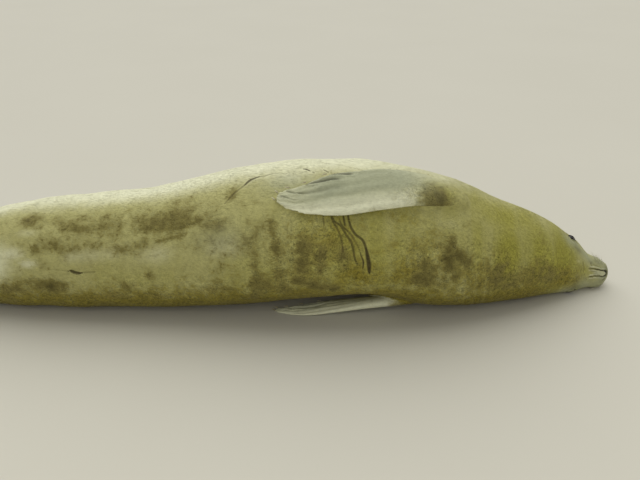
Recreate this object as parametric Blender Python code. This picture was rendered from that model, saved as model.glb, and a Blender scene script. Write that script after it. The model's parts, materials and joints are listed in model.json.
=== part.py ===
"""A crabeater seal lying on its left side, at life size, as a still museum model.

Units are metres, +Z is up and +X points to the nose. The belly faces -Y and the back +Y, so the
seal's right side is its upper side. Places on the body are given as a distance `s` behind the nose
tip and an angle `turn` round the body: 0 is the belly line, 90 the right side, 180 the back and
270 the left side, which rests on the floor at z = 0.
"""

import math
from collections import namedtuple

import bmesh
import bpy
import numpy as np

# ---- driving dimensions -------------------------------------------------------------------------
BODY_LENGTH = 2.42  # nose tip to tail tip
GIRTH_RADIUS = 0.232  # half the width of the trunk at the chest
SINK = 0.006  # how far the soft body is pressed flat where it rests
CUT = 0.0004  # the thin cut between neighbouring solids
SECTORS = 36  # points round the trunk
EYE_RADIUS = 0.0195
FORE_FLIPPER_LENGTH = 0.50
HIND_FLIPPER_LENGTH = 0.36

# ---- where the body is divided, as distances behind the nose tip --------------------------------
NECK_START = 0.270
CHEST_START = 0.500
BELLY_START = 1.050
HIPS_START = 1.620
HIPS_END = 2.310

Station = namedtuple("Station", "s right left dorsal ventral sway")
# Half-widths of the body to its four sides, as shares of GIRTH_RADIUS, and the bend of the spine
# towards the back, in metres.
BODY_STATIONS = (
    Station(0.000, 0.050, 0.050, 0.060, 0.040, 0.062),  # nose tip
    Station(0.006, 0.118, 0.118, 0.110, 0.085, 0.062),
    Station(0.022, 0.178, 0.178, 0.148, 0.128, 0.061),  # nostrils
    Station(0.045, 0.222, 0.222, 0.172, 0.170, 0.060),  # whisker pads
    Station(0.080, 0.270, 0.272, 0.205, 0.222, 0.058),  # corner of the mouth
    Station(0.112, 0.328, 0.336, 0.240, 0.272, 0.055),  # stop
    Station(0.148, 0.395, 0.405, 0.280, 0.345, 0.051),  # eyes
    Station(0.215, 0.520, 0.520, 0.440, 0.465, 0.043),  # ears
    Station(0.300, 0.620, 0.625, 0.605, 0.600, 0.032),  # nape
    Station(0.410, 0.715, 0.730, 0.725, 0.735, 0.018),  # neck
    Station(0.530, 0.850, 0.850, 0.870, 0.865, 0.006),  # shoulders
    Station(0.680, 0.970, 0.930, 0.975, 0.970, 0.000),
    Station(0.860, 1.035, 0.990, 1.050, 1.030, 0.000),  # chest
    Station(1.030, 1.025, 1.000, 1.060, 1.045, 0.000),
    Station(1.180, 0.975, 0.980, 1.040, 1.015, 0.000),  # last ribs
    Station(1.350, 0.885, 0.905, 0.975, 0.950, 0.000),  # waist
    Station(1.520, 0.788, 0.830, 0.890, 0.870, 0.000),
    Station(1.700, 0.757, 0.790, 0.820, 0.810, 0.000),
    Station(1.860, 0.722, 0.760, 0.755, 0.755, 0.000),  # hips
    Station(2.000, 0.665, 0.700, 0.670, 0.680, 0.002),
    Station(2.110, 0.582, 0.605, 0.575, 0.575, 0.004),
    Station(2.200, 0.470, 0.475, 0.445, 0.440, 0.007),
    Station(2.265, 0.355, 0.360, 0.335, 0.325, 0.009),  # ankles
    Station(2.300, 0.255, 0.260, 0.235, 0.225, 0.009),
    Station(2.310, 0.160, 0.165, 0.140, 0.130, 0.009),
)

Form = namedtuple("Form", "s turn along across height")
# Soft swellings and hollows on the body: centre, reach along the body (m) and round it (degrees),
# and height in metres, which is negative for a hollow.
BODY_FORMS = (
    Form(0.040, 62, 0.022, 34, 0.0050),  # right whisker pad
    Form(0.040, -62, 0.022, 34, 0.0050),  # left whisker pad
    Form(0.014, 180, 0.014, 50, 0.0035),  # nose, slightly raised
    Form(0.080, 90, 0.018, 34, -0.0030),  # hollow before the right eye
    Form(0.080, -90, 0.018, 34, -0.0030),  # hollow before the left eye
    Form(0.126, 90, 0.030, 28, 0.0090),  # right brow
    Form(0.126, -90, 0.030, 28, 0.0090),  # left brow
    Form(0.030, 0, 0.020, 40, 0.0025),  # chin
    Form(0.172, 52, 0.038, 30, 0.0040),  # right cheek
    Form(0.172, -52, 0.038, 30, 0.0040),  # left cheek
    Form(0.610, 64, 0.085, 22, 0.0140),  # right shoulder
    Form(0.940, -56, 0.240, 26, -0.0370),  # the belly over the left flipper
    Form(0.830, -54, 0.110, 26, -0.0280),  # hollow of the left armpit
    Form(1.180, 178, 0.300, 40, 0.0060),  # back
)


def monotone_curve(knots, values):
    """A smooth curve through the values that never overshoots them, as a function of s."""
    knots = np.asarray(knots, float)
    values = np.asarray(values, float)
    steps = np.diff(knots)
    slopes = np.diff(values) / steps
    tangents = np.zeros_like(values)
    same_way = slopes[:-1] * slopes[1:] > 0
    before, after = steps[:-1], steps[1:]
    weight_a, weight_b = 2 * after + before, after + 2 * before
    with np.errstate(divide="ignore", invalid="ignore"):
        mean = (weight_a + weight_b) / (weight_a / slopes[:-1] + weight_b / slopes[1:])
    tangents[1:-1] = np.where(same_way, mean, 0.0)
    tangents[0], tangents[-1] = slopes[0], slopes[-1]

    def at(s):
        s = np.clip(np.asarray(s, float), knots[0], knots[-1])
        i = np.clip(np.searchsorted(knots, s, side="right") - 1, 0, len(steps) - 1)
        t = (s - knots[i]) / steps[i]
        rise = values[i + 1] - values[i]
        start, end = tangents[i] * steps[i], tangents[i + 1] * steps[i]
        bend = (3 * rise - 2 * start - end) * t**2 + (start + end - 2 * rise) * t**3
        return values[i] + start * t + bend

    return at


def body_curves():
    """One smooth curve for each column of the station table."""
    stops = [station.s for station in BODY_STATIONS]
    return {
        side: monotone_curve(stops, [getattr(station, side) for station in BODY_STATIONS])
        for side in ("right", "left", "dorsal", "ventral", "sway")
    }


CURVES = body_curves()
# How square a section is, 2 being an ellipse, on the side it lies on and on the upper side.
LOWER_CORNER = monotone_curve((0.12, 0.30, 0.60, 0.90, 1.20, 1.70), (2.05, 2.30, 2.20, 2.05, 2.00, 2.35))
UPPER_CORNER = monotone_curve((0.15, 0.55), (2.0, 2.12))
# Degrees that the head is rolled, chin up, and how far the muzzle is held off the floor.
ROLL = monotone_curve((0.09, 0.19, 0.45), (17.0, 12.0, 0.0))
MUZZLE_LIFT = monotone_curve((0.000, 0.022, 0.060), (0.028, 0.004, 0.000))


def soft_power(value, exponent):
    """The value's size raised to the exponent, with its sign kept."""
    return np.sign(value) * np.abs(value) ** exponent


def turn_distance(a, b):
    """Degrees between two turns, the short way round."""
    return np.abs((np.asarray(a, float) - b + 180) % 360 - 180)


def body_surface(s, turn):
    """Points of the body's skin at distances s and turns, as an array (..., 3)."""
    s, turn = np.broadcast_arrays(np.asarray(s, float), np.asarray(turn, float))
    side = {name: curve(s) for name, curve in CURVES.items()}
    cosine, sine = np.cos(np.radians(turn)), np.sin(np.radians(turn))
    exponent = 2 / np.where(sine < 0, LOWER_CORNER(s), UPPER_CORNER(s))
    across = soft_power(cosine, exponent) * np.where(cosine > 0, side["ventral"], side["dorsal"])
    up = soft_power(sine, exponent) * np.where(sine > 0, side["right"], side["left"])
    radius = np.hypot(across, up) * GIRTH_RADIUS
    swell = sum(
        form.height
        * np.exp(-(((s - form.s) / form.along) ** 2) - (turn_distance(turn, form.turn) / form.across) ** 2)
        for form in BODY_FORMS
    )
    grow = (radius + swell) / np.maximum(radius, 1e-6) * GIRTH_RADIUS
    points = beside_axis(s, across * grow, up * grow)
    points[..., 2] = np.maximum(points[..., 2], 0.0)
    return points


def beside_axis(s, towards_belly, towards_right):
    """Points at distances s, offset from the body's axis towards its belly and its right side."""
    s = np.asarray(s, float)
    roll = np.radians(ROLL(s))
    rest = CURVES["left"](s) * GIRTH_RADIUS - SINK * np.clip(s / 0.05, 0, 1) + MUZZLE_LIFT(s)
    y = CURVES["sway"](s) - towards_belly * np.cos(roll) + towards_right * np.sin(roll)
    z = rest + towards_belly * np.sin(roll) + towards_right * np.cos(roll)
    return np.stack([-s, y, z], axis=-1)


def body_frame(s, turn, step=1e-3):
    """Point and outward unit normal of the skin."""
    here = body_surface(s, turn)
    along = body_surface(np.asarray(s) + step, turn) - here
    round_ = body_surface(s, np.asarray(turn) + 0.5) - here
    normal = np.cross(round_, along)
    normal /= np.maximum(np.linalg.norm(normal, axis=-1, keepdims=True), 1e-12)
    return here, normal


# ---- meshes -------------------------------------------------------------------------------------
def finish(name, rows, end_faces, material, smooth=True):
    """A closed mesh object from rings of points, with its two ends closed by end_faces."""
    mesh_data = bmesh.new()
    rings = [[mesh_data.verts.new(point) for point in row] for row in rows]
    count = len(rings[0])
    for near, far in zip(rings[:-1], rings[1:]):
        for i in range(count):
            j = (i + 1) % count
            mesh_data.faces.new((near[i], near[j], far[j], far[i]))
    for ring, flip in ((rings[0], False), (rings[-1], True)):
        for corners in end_faces(count):
            corners = corners if flip else corners[::-1]
            mesh_data.faces.new([ring[i] for i in corners])
    bmesh.ops.recalc_face_normals(mesh_data, faces=mesh_data.faces)
    mesh = bpy.data.meshes.new(name)
    mesh_data.to_mesh(mesh)
    mesh_data.free()
    if mesh_volume(mesh) < 0:
        mesh.flip_normals()
    if material:
        mesh.materials.append(material)
    if smooth:
        mesh.shade_smooth()
        mesh.set_sharp_from_angle(angle=math.radians(50))
    made = bpy.data.objects.new(name, mesh)
    bpy.context.scene.collection.objects.link(made)
    return made


def mesh_volume(mesh):
    """Signed volume of a closed mesh, negative where its faces point in."""
    total = 0.0
    for face in mesh.polygons:
        corners = [mesh.vertices[i].co for i in face.vertices]
        for a, b in zip(corners[1:-1], corners[2:]):
            total += corners[0].dot(a.cross(b)) / 6
    return total


def round_end(count):
    """One flat face that closes a round end."""
    return [list(range(count))]


def blade_end(count):
    """A strip of quads that closes the long thin end of a blade, ring point i facing count - i."""
    half = count // 2
    faces = [[0, 1, count - 1]]
    faces += [[i, i + 1, count - i - 1, count - i] for i in range(1, half - 1)]
    return faces + [[half - 1, half, half + 1]]


def lobe_end(count):
    """A strip of flat quads across a lobe, ring point i facing count - 1 - i."""
    return [[i, i + 1, count - i - 2, count - i - 1] for i in range(count // 2 - 1)]


def principled(name, colour, roughness, metallic=0.0):
    """A plain material with one Principled shader."""
    material = bpy.data.materials.new(name)
    material.use_nodes = True
    shader = material.node_tree.nodes["Principled BSDF"]
    shader.inputs["Base Color"].default_value = (*colour, 1.0)
    shader.inputs["Roughness"].default_value = roughness
    shader.inputs["Metallic"].default_value = metallic
    material.diffuse_color = (*colour, 1.0)
    return material


def helper(solid, grow, name):
    """A hidden copy of a solid, grown outwards, that cuts its neighbours with a thin clearance."""
    copy = bpy.data.objects.new(name, solid.data.copy())
    bpy.context.scene.collection.objects.link(copy)
    copy.hide_render = True
    copy.display_type = "WIRE"
    swell = copy.modifiers.new("grow", "DISPLACE")
    swell.strength = grow
    swell.mid_level = 0.0
    return copy


def cut(solid, cutter, keep="DIFFERENCE"):
    """Cuts one solid by another with an exact Boolean."""
    boolean = solid.modifiers.new(cutter.name, "BOOLEAN")
    boolean.object = cutter
    boolean.operation = keep
    boolean.solver = "EXACT"


# ---- head, neck, trunk and tail -----------------------------------------------------------------
def spaced(start, end, count, gather=0.0):
    """Distances from start to end, gathered towards the start as gather goes from 0 to 1."""
    t = np.linspace(0, 1, count)
    return start + (end - start) * ((1 - gather) * t + gather * t**2)


def body_length_of(name, start, end, count, material, gather=0.0):
    """One length of the body as a loft of cross-sections."""
    turns = np.arange(SECTORS) * 360 / SECTORS
    rows = [body_surface(s, turns) for s in spaced(start, end, count, gather)]
    return finish(name, rows, round_end, material)


def jaw_block(name, inset):
    """A block whose outline, seen from below the chin, is the lobe of the lower jaw."""
    right = [(s + inset if s < JAW_LOBE[1][0] else s, width - inset) for s, width in JAW_LOBE]
    right[-1] = (right[-1][0] - inset, right[-1][1])
    lobe = right + [(s, -width) for s, width in reversed(right)]
    rows = [[beside_axis(s, depth, width) for s, width in lobe] for depth in (JAW_ROOF + inset, 0.12)]
    block = finish(name, rows, lobe_end, None, smooth=False)
    block.hide_render = True
    block.display_type = "WIRE"
    return block


def eyeball(name, turn, material):
    """An eye set in the head. The left one, on the side it lies on, is just clear of the floor."""
    skin, normal = body_frame(EYE_PLACE, turn)
    centre = skin - normal * EYE_RADIUS * EYE_DEPTH
    mesh_data = bmesh.new()
    bmesh.ops.create_uvsphere(mesh_data, u_segments=14, v_segments=9, radius=EYE_RADIUS)
    mesh = bpy.data.meshes.new(name)
    mesh_data.to_mesh(mesh)
    mesh_data.free()
    mesh.shade_smooth()
    mesh.materials.append(material)
    ball = bpy.data.objects.new(name, mesh)
    ball.location = (centre[0], centre[1], max(centre[2], EYE_RADIUS + FLOOR_GAP))
    bpy.context.scene.collection.objects.link(ball)
    return ball


# ---- flippers -----------------------------------------------------------------------------------
Blade = namedtuple("Blade", "place reach thickness ridge")
# Where five digits and the four webs between them lie across a blade, from +1 at its leading edge.
DIGITS = (0.84, 0.44, 0.04, -0.36, -0.76)
WEBS = (0.64, 0.24, -0.16, -0.56)
ACROSS = sorted(DIGITS + WEBS, reverse=True)
FORE_DIGITS = (1.0, 0.985, 0.93, 0.845, 0.745)  # how far each digit reaches
HIND_DIGITS = (1.0, 0.90, 0.84, 0.885, 0.985)


def blade_point(blade, along, across, side):
    """A point on a blade. side is +1 on its upper skin, -1 on its lower one, 0 on its middle."""
    share = along * blade.reach(across)
    middle, normal = blade.place(share, across)
    roundness = math.sqrt(max(1 - across * across, 0.0))
    relief = math.cos(math.pi * (across - DIGITS[0]) / (DIGITS[0] - WEBS[0]))
    half = 0.5 * blade.thickness(share) * (0.86 + 0.14 * across) * roundness
    half += 0.5 * blade.ridge * relief * roundness * min(share / 0.5, 1.0)
    return middle + normal * side * max(half, 0.0012 * roundness)


def blade_solid(name, blade, stations, material):
    """A flipper as a loft of thin rings, each with a point on every digit and web."""
    rows = []
    for along in np.linspace(0, 1, stations):
        ring = [blade_point(blade, along, 1.0, 0)]
        ring += [blade_point(blade, along, across, 1) for across in ACROSS]
        ring += [blade_point(blade, along, -1.0, 0)]
        ring += [blade_point(blade, along, across, -1) for across in reversed(ACROSS)]
        rows.append([(x, y, max(z, 0.0)) for x, y, z in ring])
    return finish(name, rows, blade_end, material)


def scalloped(lengths, notch):
    """How far a blade reaches at each place across it: a smooth line over its digits' lengths,
    cut back by notch at each web."""
    line = monotone_curve(DIGITS[::-1], lengths[::-1])

    def reach(across):
        web = math.sin(math.pi * (across - DIGITS[0]) / (DIGITS[0] - DIGITS[1])) ** 2
        inside = DIGITS[-1] < across < DIGITS[0]
        past = max(abs(across) - DIGITS[0], 0) / (1 - DIGITS[0])
        return float(line(across)) - (notch * web if inside else 0.0) - 0.05 * past**2

    return reach


def right_fore_place(share, across):
    """The right fore flipper lies back along the upper flank, its leading edge to the belly."""
    s = RIGHT_ROOT + share * FORE_REACH
    turn = float(RIGHT_MIDDLE(share)) - across * float(RIGHT_HALF_TURN(share))
    skin, normal = body_frame(s, turn)
    return skin + normal * float(RIGHT_LIFT(share)), normal


def left_fore_place(share, across):
    """The left fore flipper lies back on the floor, under the edge of the belly."""
    s = LEFT_ROOT + share * FORE_REACH
    front = np.array([-s, float(LEFT_FRONT_Y(share)), float(LEFT_FRONT_Z(share))])
    rear = np.array([-s, float(LEFT_REAR_Y(share)), float(LEFT_REAR_Z(share))])
    chord = rear - front
    normal = np.cross(np.array([1.0, 0.0, 0.0]), chord)
    normal /= np.linalg.norm(normal)
    if normal[2] < 0:
        normal = -normal
    return front + chord * (1 - across) / 2, normal


def hind_place(level, tilt, lean):
    """A hind flipper trails behind the ankle, its blade flat and level."""

    def place(share, across):
        s = HIND_ROOT + share * HIND_FLIPPER_LENGTH
        half = float(HIND_HALF(share))
        y = HIND_AXIS + lean * share - across * half
        z = float(level(share)) + tilt * across * half
        return np.array([-s, y, z]), np.array([0.0, 0.0, 1.0])

    return place


def claw(name, blade, across, material, set_back):
    """A short curved cone on the upper skin of a digit, near its tip."""
    at = 1 - set_back / blade.reach(across)
    base = blade_point(blade, at, across, 0.7)
    ahead = blade_point(blade, at + 0.01, across, 0.7)
    beside = blade_point(blade, at, across - 0.02, 0.7)
    forward = (ahead - base) / np.linalg.norm(ahead - base)
    up = np.cross(forward, beside - base)
    up /= np.linalg.norm(up)
    if up[2] < 0:
        up = -up
    sideways = np.cross(forward, up)
    rows = []
    for t in (0.0, 0.45, 0.8, 1.0):
        radius = CLAW_WIDTH * (1 - t) ** 0.6 + 0.0003
        centre = base + forward * CLAW_LENGTH * t + up * 0.0015 * math.sin(math.pi * t)
        turns = np.arange(6) * math.tau / 6
        rows.append([centre + radius * (sideways * math.cos(a) + up * 0.8 * math.sin(a)) for a in turns])
    return finish(name, rows, round_end, material)


# ---- places of the parts ------------------------------------------------------------------------
EYE_PLACE = 0.146  # behind the nose tip
EYE_TURN = 77  # degrees round the head from the chin
EYE_DEPTH = 0.85  # of the eye's radius, below the skin
FLOOR_GAP = 0.0003
# The lower jaw from below: distance behind the nose tip, and half its width.
JAW_LOBE = ((0.012, 0.003), (0.018, 0.008), (0.032, 0.0120), (0.052, 0.0155), (0.084, 0.0190))
JAW_ROOF = 0.006  # how far below the axis of the head it begins

RIGHT_ROOT = 0.545
LEFT_ROOT = 0.563
FORE_REACH = FORE_FLIPPER_LENGTH + 0.075  # with the wrist, which is sunk in the shoulder
# The right flipper's middle line and half-width, in degrees round the trunk, and its height over
# the trunk's skin, each against the share of its length.
RIGHT_MIDDLE = monotone_curve(
    (0, 0.13, 0.25, 0.44, 0.67, 0.84, 0.91, 0.955, 1), (65, 65, 66, 61.5, 56.5, 57, 60, 63, 69)
)
RIGHT_HALF_TURN = monotone_curve((0, 0.13, 0.25, 0.44, 1), (9, 12, 16, 18.5, 18))
RIGHT_LIFT = monotone_curve(
    (0, 0.13, 0.25, 0.44, 0.67, 0.85, 1), (-0.012, 0.004, 0.014, 0.020, 0.016, 0.012, 0.010)
)
# The left flipper's leading and trailing edges on the floor.
LEFT_SHARES = (0, 0.24, 0.45, 0.64, 0.78, 0.93, 1)  # from the wrist to the tip
LEFT_FRONT_Y = monotone_curve(LEFT_SHARES, (-0.110, -0.130, -0.142, -0.142, -0.146, -0.135, -0.112))
LEFT_FRONT_Z = monotone_curve(LEFT_SHARES, (0.095, 0.062, 0.043, 0.022, 0.011, 0.0055, 0.0040))
LEFT_REAR_Y = monotone_curve(LEFT_SHARES, (-0.060, -0.072, -0.070, -0.066, -0.062, -0.052, -0.042))
LEFT_REAR_Z = monotone_curve(LEFT_SHARES, (0.050, 0.036, 0.029, 0.019, 0.0095, 0.0045, 0.0035))

# The hind flippers: their line, half-width, and the heights of the left and the right one.
HIND_ROOT = 2.250
HIND_AXIS = -0.016
HIND_HALF = monotone_curve((0.0, 0.2, 0.5, 0.8, 1.0), (0.036, 0.040, 0.055, 0.082, 0.096))
HIND_LOW = monotone_curve((0.0, 0.3, 0.6, 1.0), (0.048, 0.022, 0.0080, 0.0035))
HIND_HIGH = monotone_curve((0.0, 0.3, 0.6, 1.0), (0.130, 0.092, 0.062, 0.040))

TAIL_START = 2.275
TAIL_RISE = 0.062  # towards the back, over the axis of the body
TAIL_LEVEL = 0.088

CLAW_LENGTH = 0.013
CLAW_WIDTH = 0.0026
FORE_CLAW_SET_BACK = 0.012  # from the edge, as a share of the flipper
HIND_CLAW_SET_BACK = 0.050


def fore_thickness(share):
    """Thickness of a fore flipper at a share of its length."""
    return 0.050 * (1 - share) ** 1.2 + 0.013


def hind_thickness(share):
    """Thickness of a hind flipper at a share of its length."""
    return 0.042 * (1 - share) ** 1.5 + 0.010


BLADES = {
    "fore_flipper_right": Blade(
        right_fore_place, scalloped(FORE_DIGITS, 0.009), fore_thickness, 0.0020
    ),
    "fore_flipper_left": Blade(
        left_fore_place, scalloped(FORE_DIGITS, 0.009), fore_thickness, 0.0020
    ),
    "hind_flipper_right": Blade(
        hind_place(HIND_HIGH, 0.05, 0.010), scalloped(HIND_DIGITS, 0.014), hind_thickness, 0.0028
    ),
    "hind_flipper_left": Blade(
        hind_place(HIND_LOW, 0.0, -0.012), scalloped(HIND_DIGITS, 0.014), hind_thickness, 0.0028
    ),
}


def tail_solid(material):
    """The short tail, flattened from belly to back and rounded at its tip."""
    length = BODY_LENGTH - TAIL_START
    width = monotone_curve((0, 0.3, 0.7, 0.92, 1.0), (0.036, 0.037, 0.031, 0.017, 0.003))
    depth = monotone_curve((0, 0.3, 0.7, 0.92, 1.0), (0.022, 0.017, 0.012, 0.008, 0.002))
    rows = []
    for t in (0, 0.15, 0.3, 0.45, 0.6, 0.72, 0.84, 0.92, 0.975, 1.0):
        turns = np.arange(12) * math.tau / 12
        centre = np.array([-(TAIL_START + t * length), TAIL_RISE + 0.008 * t, TAIL_LEVEL - 0.006 * t])
        reach = np.array([0.0, float(depth(t)), float(width(t))])
        rows.append([centre + reach * (0, math.cos(a), math.sin(a)) for a in turns])
    return finish("tail", rows, round_end, material)


def centre_on_floor():
    """Moves everything so that the seal's box is centred over the origin, with the floor at z = 0."""
    bpy.context.view_layer.update()
    shown = [o for o in bpy.data.objects if o.type == "MESH" and not o.hide_render]
    corners = np.array([o.matrix_world @ v.co for o in shown for v in o.data.vertices])
    middle = (corners.min(axis=0) + corners.max(axis=0)) / 2
    seal = bpy.data.objects.new("seal", None)
    bpy.context.scene.collection.objects.link(seal)
    for thing in list(bpy.data.objects):
        if thing is not seal:
            thing.parent = seal
    seal.location = (-middle[0], -middle[1], 0.0)


def build():
    """Builds every sub-part, cuts them apart, and sets the seal on the floor."""
    for old in list(bpy.data.objects):
        bpy.data.objects.remove(old)
    coat = principled("coat", (0.62, 0.58, 0.40), 0.6)
    flipper_coat = principled("flipper_coat", (0.66, 0.64, 0.50), 0.6)
    wet_eye = principled("wet_eye", (0.02, 0.015, 0.01), 0.08)
    horn = principled("horn", (0.20, 0.17, 0.13), 0.4)

    half_cut = CUT / 2
    head = body_length_of("head", 0.0, NECK_START - half_cut, 24, coat, gather=0.75)
    body_length_of("neck", NECK_START + half_cut, CHEST_START - half_cut, 7, coat)
    chest = body_length_of("chest", CHEST_START + half_cut, BELLY_START - half_cut, 13, coat)
    belly = body_length_of("belly", BELLY_START + half_cut, HIPS_START - half_cut, 9, coat)
    hips = body_length_of("hips", HIPS_START + half_cut, HIPS_END, 16, coat)

    jaw = bpy.data.objects.new("lower_jaw", head.data.copy())
    bpy.context.scene.collection.objects.link(jaw)
    cut(jaw, jaw_block("jaw_shape", CUT), "INTERSECT")
    cut(head, jaw_block("jaw_room", 0.0))
    for side, turn in (("right", EYE_TURN), ("left", -EYE_TURN)):
        ball = eyeball("eye_" + side, turn, wet_eye)
        cut(head, helper(ball, CUT * 2, "socket_" + side))
        bpy.data.objects["socket_" + side].location = ball.location

    flippers = {name: blade_solid(name, blade, 15, flipper_coat) for name, blade in BLADES.items()}
    chest_room = helper(chest, CUT, "chest_room")
    belly_room = helper(belly, CUT, "belly_room")
    hips_room = helper(hips, CUT, "hips_room")
    for name, flipper in flippers.items():
        if name.startswith("fore"):
            cut(flipper, chest_room)
            cut(flipper, belly_room)
        else:
            cut(flipper, hips_room)
    tail = tail_solid(coat)
    cut(tail, hips_room)

    for name, blade in BLADES.items():
        fore = name.startswith("fore")
        room = helper(flippers[name], CUT, name + "_room")
        for number, across in enumerate(DIGITS, start=1):
            set_back = FORE_CLAW_SET_BACK if fore else HIND_CLAW_SET_BACK
            nail = claw(f"claw_{name.replace('_flipper', '')}_{number}", blade, across, horn, set_back)
            cut(nail, room)
            if name.endswith("left"):
                cut(nail, chest_room if fore else hips_room)
    centre_on_floor()


build()
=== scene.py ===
"""Looks of a crabeater seal that lies on its left side, as a still museum model at life size.

Units are metres. +X points to the nose, +Z up, the belly faces -Y and the back +Y. Places on the
body are a distance `s` behind the nose tip and an angle `turn` round it, in degrees: 0 is the
belly line, 90 the right side, which lies uppermost, 180 the back and -90 the left side.
"""

import json
import logging
import math
from dataclasses import dataclass
from enum import Enum

import bmesh
import bpy
import numpy as np
from bpy.types import Material, Mesh, Object
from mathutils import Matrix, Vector
from mathutils.bvhtree import BVHTree

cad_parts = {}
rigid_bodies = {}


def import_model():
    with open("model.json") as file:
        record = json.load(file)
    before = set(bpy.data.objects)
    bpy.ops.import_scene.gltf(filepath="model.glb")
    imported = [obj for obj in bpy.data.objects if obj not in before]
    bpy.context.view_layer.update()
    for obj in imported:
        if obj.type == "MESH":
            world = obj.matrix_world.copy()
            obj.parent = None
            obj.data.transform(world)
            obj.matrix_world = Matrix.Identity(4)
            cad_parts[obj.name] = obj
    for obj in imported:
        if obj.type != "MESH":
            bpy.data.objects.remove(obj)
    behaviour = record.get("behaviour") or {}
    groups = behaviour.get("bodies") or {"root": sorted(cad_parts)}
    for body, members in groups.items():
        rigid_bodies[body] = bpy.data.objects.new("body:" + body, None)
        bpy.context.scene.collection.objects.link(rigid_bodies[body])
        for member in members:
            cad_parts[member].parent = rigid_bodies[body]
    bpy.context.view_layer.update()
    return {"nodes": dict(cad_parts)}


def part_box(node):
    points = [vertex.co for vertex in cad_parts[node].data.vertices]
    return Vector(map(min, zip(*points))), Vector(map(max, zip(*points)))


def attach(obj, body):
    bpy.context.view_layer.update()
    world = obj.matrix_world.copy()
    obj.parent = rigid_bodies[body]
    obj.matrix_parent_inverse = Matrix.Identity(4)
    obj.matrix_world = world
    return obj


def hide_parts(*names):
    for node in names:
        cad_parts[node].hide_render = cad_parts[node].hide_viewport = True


log = logging.getLogger("seal")
Array = np.ndarray
Colour = tuple[float, float, float]
Place = tuple[float, float, float]
Knots = tuple[tuple[float, float], ...]

for leftover in list(bpy.data.objects):
    bpy.data.objects.remove(leftover)
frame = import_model()

ROOT = "root"
TRUNK_NODES = ("head", "neck", "chest", "belly", "hips")
FORE = ("fore_flipper_right", "fore_flipper_left")
HIND = ("hind_flipper_right", "hind_flipper_left")
FLIPPER_NODES = FORE + HIND
# Where the first digit lies across a flipper, +1 being its leading edge, and the step to the next.
FIRST_DIGIT = 0.84
DIGIT_STEP = 0.40
# Behind this distance the hind flippers stand free of the body.
HIND_FREE = 2.31
# The ear openings: their distance behind the nose tip and their turn.
EAR_PLACE = 0.215
EAR_TURN = 122
# The name of the unwrap, and the size of one tuft's patch on it.
BAKE_MAP = "OFBake"
PATCH = 0.003


# ---- numbers and meshes ----
def ramp(value: Array, low: float, high: float) -> Array:
    """A soft rise from 0 at low to 1 at high."""
    t = np.clip((np.asarray(value, float) - low) / (high - low), 0.0, 1.0)
    return t * t * (3 - 2 * t)


def bell(value: Array, reach: float) -> Array:
    """A bell curve that is 1 at 0 and has faded at twice its reach."""
    return np.exp(-((value / reach) ** 2))


def turn_gap(a: Array, b: float) -> Array:
    """Degrees from turn b to turn a, signed, the short way round."""
    return (np.asarray(a, float) - b + 180) % 360 - 180


def unit(vectors: Array) -> Array:
    """Vectors at length one."""
    length = np.linalg.norm(vectors, axis=-1, keepdims=True)
    return vectors / np.maximum(length, 1e-12)


def dots(first: Array, second: Array) -> Array:
    """The dot product of each row of one array with the same row of the other."""
    return np.einsum("ij,ij->i", first, second)


def corners_of(mesh: Mesh) -> Array:
    """The vertices of a mesh."""
    places = np.empty(len(mesh.vertices) * 3, np.float32)
    mesh.vertices.foreach_get("co", places)
    return places.reshape(-1, 3).astype(float)


def normals_of(mesh: Mesh) -> Array:
    """The vertex normals of a mesh."""
    normals = np.empty(len(mesh.vertices) * 3, np.float32)
    mesh.vertices.foreach_get("normal", normals)
    return normals.reshape(-1, 3).astype(float)


def edges_of(mesh: Mesh) -> Array:
    """The two ends of every edge of a mesh."""
    ends = np.empty(len(mesh.edges) * 2, np.int32)
    mesh.edges.foreach_get("vertices", ends)
    return ends.reshape(-1, 2)


def loops_of(mesh: Mesh) -> Array:
    """The vertex at every face corner of a mesh."""
    loops = np.empty(len(mesh.loops), np.int32)
    mesh.loops.foreach_get("vertex_index", loops)
    return loops


def triangles_of(mesh: Mesh) -> Array:
    """The three vertices of every triangle of a mesh."""
    mesh.calc_loop_triangles()
    corners = np.empty(len(mesh.loop_triangles) * 3, np.int32)
    mesh.loop_triangles.foreach_get("vertices", corners)
    return corners.reshape(-1, 3)


def place_vertices(mesh: Mesh, points: Array) -> None:
    """Moves a mesh's vertices to new points."""
    mesh.vertices.foreach_set("co", points.astype(np.float32).ravel())
    mesh.update()


def store_values(mesh: Mesh, name: str, values: Array) -> None:
    """Writes a number at each vertex of a mesh, where a material reads it."""
    layer = mesh.attributes.new(name, "FLOAT", "POINT")
    layer.data.foreach_set("value", np.asarray(values, np.float32))


def store_map(mesh: Mesh, spots: Array) -> None:
    """Writes the places that a mesh's face corners have on its unwrap."""
    layer = mesh.uv_layers.new(name=BAKE_MAP)
    layer.data.foreach_set("uv", spots.astype(np.float32).ravel())


def mesh_from(shape: bmesh.types.BMesh, name: str) -> Mesh:
    """A new mesh of a shape, which is given up."""
    mesh = bpy.data.meshes.new(name)
    shape.to_mesh(mesh)
    shape.free()
    return mesh


def linked(name: str, data: bpy.types.ID) -> Object:
    """A new object in the scene for a mesh, a light or a camera."""
    made = bpy.data.objects.new(name, data)
    bpy.context.scene.collection.objects.link(made)
    return made


def evaluated(thing: Object) -> Mesh:
    """A new mesh that holds an object's shape with its modifiers applied."""
    bpy.context.view_layer.update()
    graph = bpy.context.evaluated_depsgraph_get()
    return bpy.data.meshes.new_from_object(thing.evaluated_get(graph))


def apply_modifiers(thing: Object) -> None:
    """Makes an object's modifiers part of its mesh."""
    thing.data = evaluated(thing)
    thing.modifiers.clear()


def within(points: Array, name: str, margin: float) -> Array:
    """Which points lie in the box of a node, grown by a margin."""
    low, high = (np.array(corner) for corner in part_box(name))
    return ((points > low - margin) & (points < high + margin)).all(axis=1)


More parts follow.
